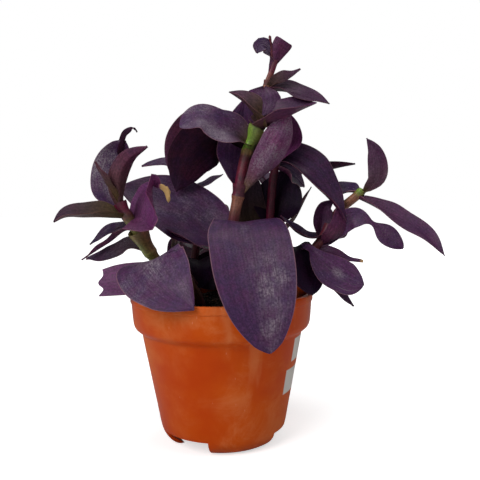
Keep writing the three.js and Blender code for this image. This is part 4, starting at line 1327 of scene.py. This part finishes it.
def potMaterial():
    material, tree, shader = startMaterial("potPlastic", Specular_IOR_Level=0.08)
    place = objectPlace(tree)
    tall, tallest = drawnUp(tree, place, 0.28), drawnUp(tree, place, 0.08)
    axes = addNode(tree, "ShaderNodeSeparateXYZ", {"Vector": place}).outputs
    height, turn = axes["Z"], maths(tree, "ARCTAN2", axes["Y"], axes["X"])
    clouds = noiseField(tree, place, 22, 4, 0.55)
    streaks = noiseField(tree, tall, 95, 5, 0.6)
    fine = noiseField(tree, place, 1400, 2, 0.5)
    drips = noiseField(tree, tallest, 60, 3, 0.5)
    scuffs = noiseField(tree, place, 46, 6, 0.72, 0.6)

    colour = mixColour(tree, mask(tree, clouds, 0.34, 0.66), plastic["orange"], plastic["paleOrange"])
    # Haze and runs: partly scuffs and old water marks, partly painted sheen and highlight streaks
    hazeAndSheen = times(tree, mask(tree, scuffs, 0.42, 0.72), mask(tree, clouds, 0.36, 0.64))
    runs = times(tree, mask(tree, drips, 0.6, 0.7), mask(tree, streaks, 0.36, 0.6))
    hazeAndSheen = maths(tree, "MULTIPLY_ADD", runs, 0.8, hazeAndSheen, clamp=True)
    colour = mixColour(tree, times(tree, hazeAndSheen, plastic["hazeAndSheenShare"]), colour, plastic["hazeAndSheen"])
    nicks = times(tree, mask(tree, dotField(tree, tall, 320.0), 0.1, 0.03), mask(tree, scuffs, 0.5, 0.6))
    colour = mixColour(tree, times(tree, nicks, plastic["nickShare"]), colour, plastic["nick"])
    # darker towards the foot
    footDarkening = times(tree, mask(tree, height, plastic["footDarkeningHeight"], 0.0), mask(tree, streaks, 0.3, 0.7))
    colour = mixColour(tree, times(tree, footDarkening, plastic["footDarkeningShare"]), colour, plastic["footDarkening"])

    # Painted shade inside the collar above the soil
    level = addNode(tree, "ShaderNodeCombineXYZ", {"X": axes["X"], "Y": axes["Y"]}).outputs[0]
    radius = addNode(tree, "ShaderNodeVectorMath", {"Vector": level}, operation="LENGTH").outputs["Value"]
    collarShade = times(tree, mask(tree, radius, *plastic["collarShadeRadius"]), mask(tree, height, *plastic["collarShadeTop"]),
                 mask(tree, height, *plastic["collarShadeFoot"]), mask(tree, streaks, 0.3, 0.6, 0.6, 0.95))
    colour = mixColour(tree, collarShade, colour, plastic["collarShade"])
    for patch in plastic["patches"]:
        colour = mixColour(tree, patchShare(tree, turn, height, patch), colour, plastic["patch"])
    tree.links.new(colour, shader.inputs["Base Color"])
    rough = maths(tree, "MULTIPLY_ADD", hazeAndSheen, 0.2, mask(tree, clouds, 0.3, 0.7, 0.38, 0.5))
    tree.links.new(rough, shader.inputs["Roughness"])
    bumped(tree, shader, maths(tree, "MULTIPLY_ADD", fine, 0.5, streaks), 0.16, 0.0004)
    return material


pot = makePot()
pot.data.materials.clear()
pot.data.materials.append(potMaterial())
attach(pot, "root")
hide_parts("pot")
print(f"pot: {len(pot.data.polygons)} faces")


# Soil: a crumbled top, loose crumbs and bits of bark, in millimetres
soilShape = {
    "around": 128,
    "rings": 46,             # from the edge of the top to its middle
    "top": 78.0,
    "crown": 1.4,
    "radius": 49.4,
    "floor": 11,
    "roughness": 1.1,
    "crumbs": 620,
    "crumbSize": (0.35, 1.3),
    "crumbLong": (1, 1.5),
    "bark": 46,
    "barkSize": (0.5, 1.1),
    "barkLong": (2.2, 4.5),
    "clear": 2.2,            # no crumb lies closer to the pot's wall
}


def soilHeight(x, y):
    away = math.hypot(x, y) / soilShape["radius"]
    ground = soilShape["top"] + soilShape["crown"] * (1 - away * away)
    spot = Vector((x, y, 0))
    ground += soilShape["roughness"] * noise.noise(spot * 0.16) + 0.6 * noise.noise(spot * 0.55)
    return ground + 0.25 * noise.noise(spot * 1.4)


def soilMaterial():
    material, tree, shader = startMaterial("pottingSoil", Specular_IOR_Level=0.25)
    place = objectPlace(tree)
    lumps = noiseField(tree, place, 420, 5, 0.65)
    damp = noiseField(tree, place, 60, 3)
    colour = mixColour(tree, mask(tree, lumps, 0.3, 0.72), srgb(20, 14, 12), srgb(58, 42, 33))
    colour = mixColour(tree, mask(tree, damp, 0.45, 0.7, 0.0, 0.5), colour, srgb(30, 21, 18))
    tree.links.new(colour, shader.inputs["Base Color"])
    tree.links.new(mask(tree, damp, 0.3, 0.7, 0.7, 0.95), shader.inputs["Roughness"])
    bumped(tree, shader, lumps, 0.7, 0.0008)
    return material


def barkMaterial():
    material, tree, shader = startMaterial("barkChips", Specular_IOR_Level=0.3)
    grain = noiseField(tree, objectPlace(tree), 700, 4, 0.6)
    tree.links.new(mixColour(tree, grain, srgb(52, 34, 24), srgb(104, 72, 48)), shader.inputs["Base Color"])
    tree.links.new(mask(tree, grain, 0.3, 0.7, 0.65, 0.9), shader.inputs["Roughness"])
    bumped(tree, shader, grain, 0.5, 0.0005)
    return material


def makeGround():
    radius, top, floor = soilShape["radius"], soilShape["top"], soilShape["floor"]
    profile = [(axisHole, floor), (31.0, floor), (33.5, 12.6), (35.5, 16.6), (44.6, 65.2), (47.2, 68),
               (49.3, 71.4), (49.5, 75)]
    rings = soilShape["rings"]
    profile += [(lerp(radius, axisHole, i / rings), top) for i in range(rings + 1)]
    ground = turnedShell("soil_fill", profile, soilShape["around"])
    for vertex in ground.data.vertices:
        if vertex.co.z > (top - 0.1) * mm:
            vertex.co.z = soilHeight(vertex.co.x / mm, vertex.co.y / mm) * mm
    only(ground)
    bpy.ops.object.shade_smooth()
    ground.data.materials.append(soilMaterial())
    ground.data.materials.append(barkMaterial())
    return ground


def makeCrumb(pattern, draw, size, long, slot):
    # A copy of the pattern, dented, stretched and turned, partly sunk in the ground
    spot = draw.uniform(0, 1) ** 0.5 * (soilShape["radius"] - soilShape["clear"])
    angle = draw.uniform(0, 2 * math.pi)
    x, y = spot * math.cos(angle), spot * math.sin(angle)
    crumb = bpy.data.objects.new("crumb", pattern.data.copy())
    bpy.context.scene.collection.objects.link(crumb)
    turn = Matrix.Rotation(draw.uniform(0, 6.3), 3, "Z")
    lean = turn @ Matrix.Rotation(draw.uniform(-0.5, 0.5), 3, "X")
    seed = Vector((draw.uniform(0, 90), draw.uniform(0, 90), 0))
    middle = Vector((x, y, soilHeight(x, y) + size * 0.25))
    for vertex in crumb.data.vertices:
        shape = vertex.co * (1 + 0.45 * noise.noise(vertex.co * 1.6 + seed))
        shape = lean @ Vector((shape.x * long, shape.y, shape.z * 0.7))
        vertex.co = (shape * size + middle) * mm
    for face in crumb.data.polygons:
        face.material_index = slot
    return crumb


def makeSoil():
    ground = makeGround()
    startObject()
    bpy.ops.mesh.primitive_ico_sphere_add(subdivisions=2, radius=1)
    pattern = bpy.context.object
    for material in ground.data.materials:
        pattern.data.materials.append(material)
    draw = random.Random(11)
    pieces = [ground]
    for _ in range(soilShape["crumbs"]):
        size = draw.uniform(*soilShape["crumbSize"]) ** 1.4
        pieces.append(makeCrumb(pattern, draw, size, draw.uniform(*soilShape["crumbLong"]), 0))
    for _ in range(soilShape["bark"]):
        size = draw.uniform(*soilShape["barkSize"])
        pieces.append(makeCrumb(pattern, draw, size, draw.uniform(*soilShape["barkLong"]), 1))
    bpy.data.objects.remove(pattern)
    return joinPieces("soil_fill", pieces)


soil = makeSoil()
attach(soil, "root")
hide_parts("soil")
print(f"soil: {len(soil.data.polygons)} faces")


# Floor, light and camera
stageLook = {
    "cameraPlace": (0, -378.4, 148.0),
    "yaw": 1.694,      # degrees to the right
    "pitch": 4.773,    # degrees down
    "tilt": -0.751,    # degrees about the line of sight
    "lens": 48.75,
    "floorColour": srgb(236, 236, 236),
    "floorGlow": 0.6,  # close to the pot, rising to 1 far away
    "glowFrom": 0.15,
    "glowTo": 0.9,
    "world": srgb(255, 255, 255),
    "worldLight": 0.1,
    "aim": (0.01, 0, 0.12),
    # Each light's place, size and power
    "lights": {
        "keyLight": ((-0.66, -0.8, 0.8), 0.7, 10.4),
        "fillLight": ((0.65, -0.55, 0.95), 0.7, 2.6),
        "topLight": ((0.05, 0.15, 1.1), 0.5, 3.5),
        "backLight": ((0.5, 1.0, 0.5), 0.8, 2.0),
    },
}


def seenByCamera(tree):
    return tree.nodes.new("ShaderNodeLightPath").outputs["Is Camera Ray"]


def makeFloor():
    startObject()
    bpy.ops.mesh.primitive_plane_add(size=6, location=(0, 0, 0))
    floor = bpy.context.object
    floor.name = "floor"
    material, tree, shader = startMaterial("paleFloor", Roughness=0.9, Specular_IOR_Level=0.1)
    shader.inputs["Base Color"].default_value = stageLook["floorColour"]
    shader.inputs["Emission Color"].default_value = (1, 1, 1, 1)
    away = addNode(tree, "ShaderNodeVectorMath", {"Vector": objectPlace(tree)}, operation="LENGTH")
    glow = mask(tree, away.outputs["Value"], stageLook["glowFrom"], stageLook["glowTo"],
                stageLook["floorGlow"], 1.0)
    tree.links.new(times(tree, seenByCamera(tree), glow), shader.inputs["Emission Strength"])
    floor.data.materials.append(material)


def makeWorld():
    world = bpy.data.worlds.new("softWorld")
    bpy.context.scene.world = world
    world.use_nodes = True
    tree = world.node_tree
    back = tree.nodes["Background"]
    back.inputs["Color"].default_value = stageLook["world"]
    strength = mask(tree, seenByCamera(tree), 0, 1, stageLook["worldLight"], 1.0)
    tree.links.new(strength, back.inputs["Strength"])


def makeLights():
    for name, (place, size, power) in stageLook["lights"].items():
        light = bpy.data.lights.new(name, "AREA")
        light.size = size
        light.energy = power
        lamp = bpy.data.objects.new(name, light)
        bpy.context.scene.collection.objects.link(lamp)
        lamp.location = place
        aim = Vector(stageLook["aim"]) - Vector(place)
        lamp.rotation_euler = aim.to_track_quat("-Z", "Y").to_euler()


def makeCamera():
    yaw, pitch, tilt = (math.radians(stageLook[name]) for name in ("yaw", "pitch", "tilt"))
    forward = Vector((math.sin(yaw) * math.cos(pitch), math.cos(yaw) * math.cos(pitch), -math.sin(pitch)))
    level = forward.cross(Vector((0, 0, 1))).normalized()
    upright = level.cross(forward)
    right = level * math.cos(tilt) + upright * math.sin(tilt)
    up = right.cross(forward)
    camera = bpy.data.objects.new("camera", bpy.data.cameras.new("camera"))
    bpy.context.scene.collection.objects.link(camera)
    camera.data.lens = stageLook["lens"]
    camera.data.sensor_width = 36
    camera.data.clip_start = 0.01
    axes = Matrix((right, up, -forward)).transposed().to_4x4()
    camera.matrix_world = Matrix.Translation(Vector(stageLook["cameraPlace"]) * mm) @ axes
    bpy.context.scene.camera = camera


makeFloor()
makeWorld()
makeLights()
makeCamera()
bpy.context.scene.view_settings.view_transform = "Standard"
print("stage set")
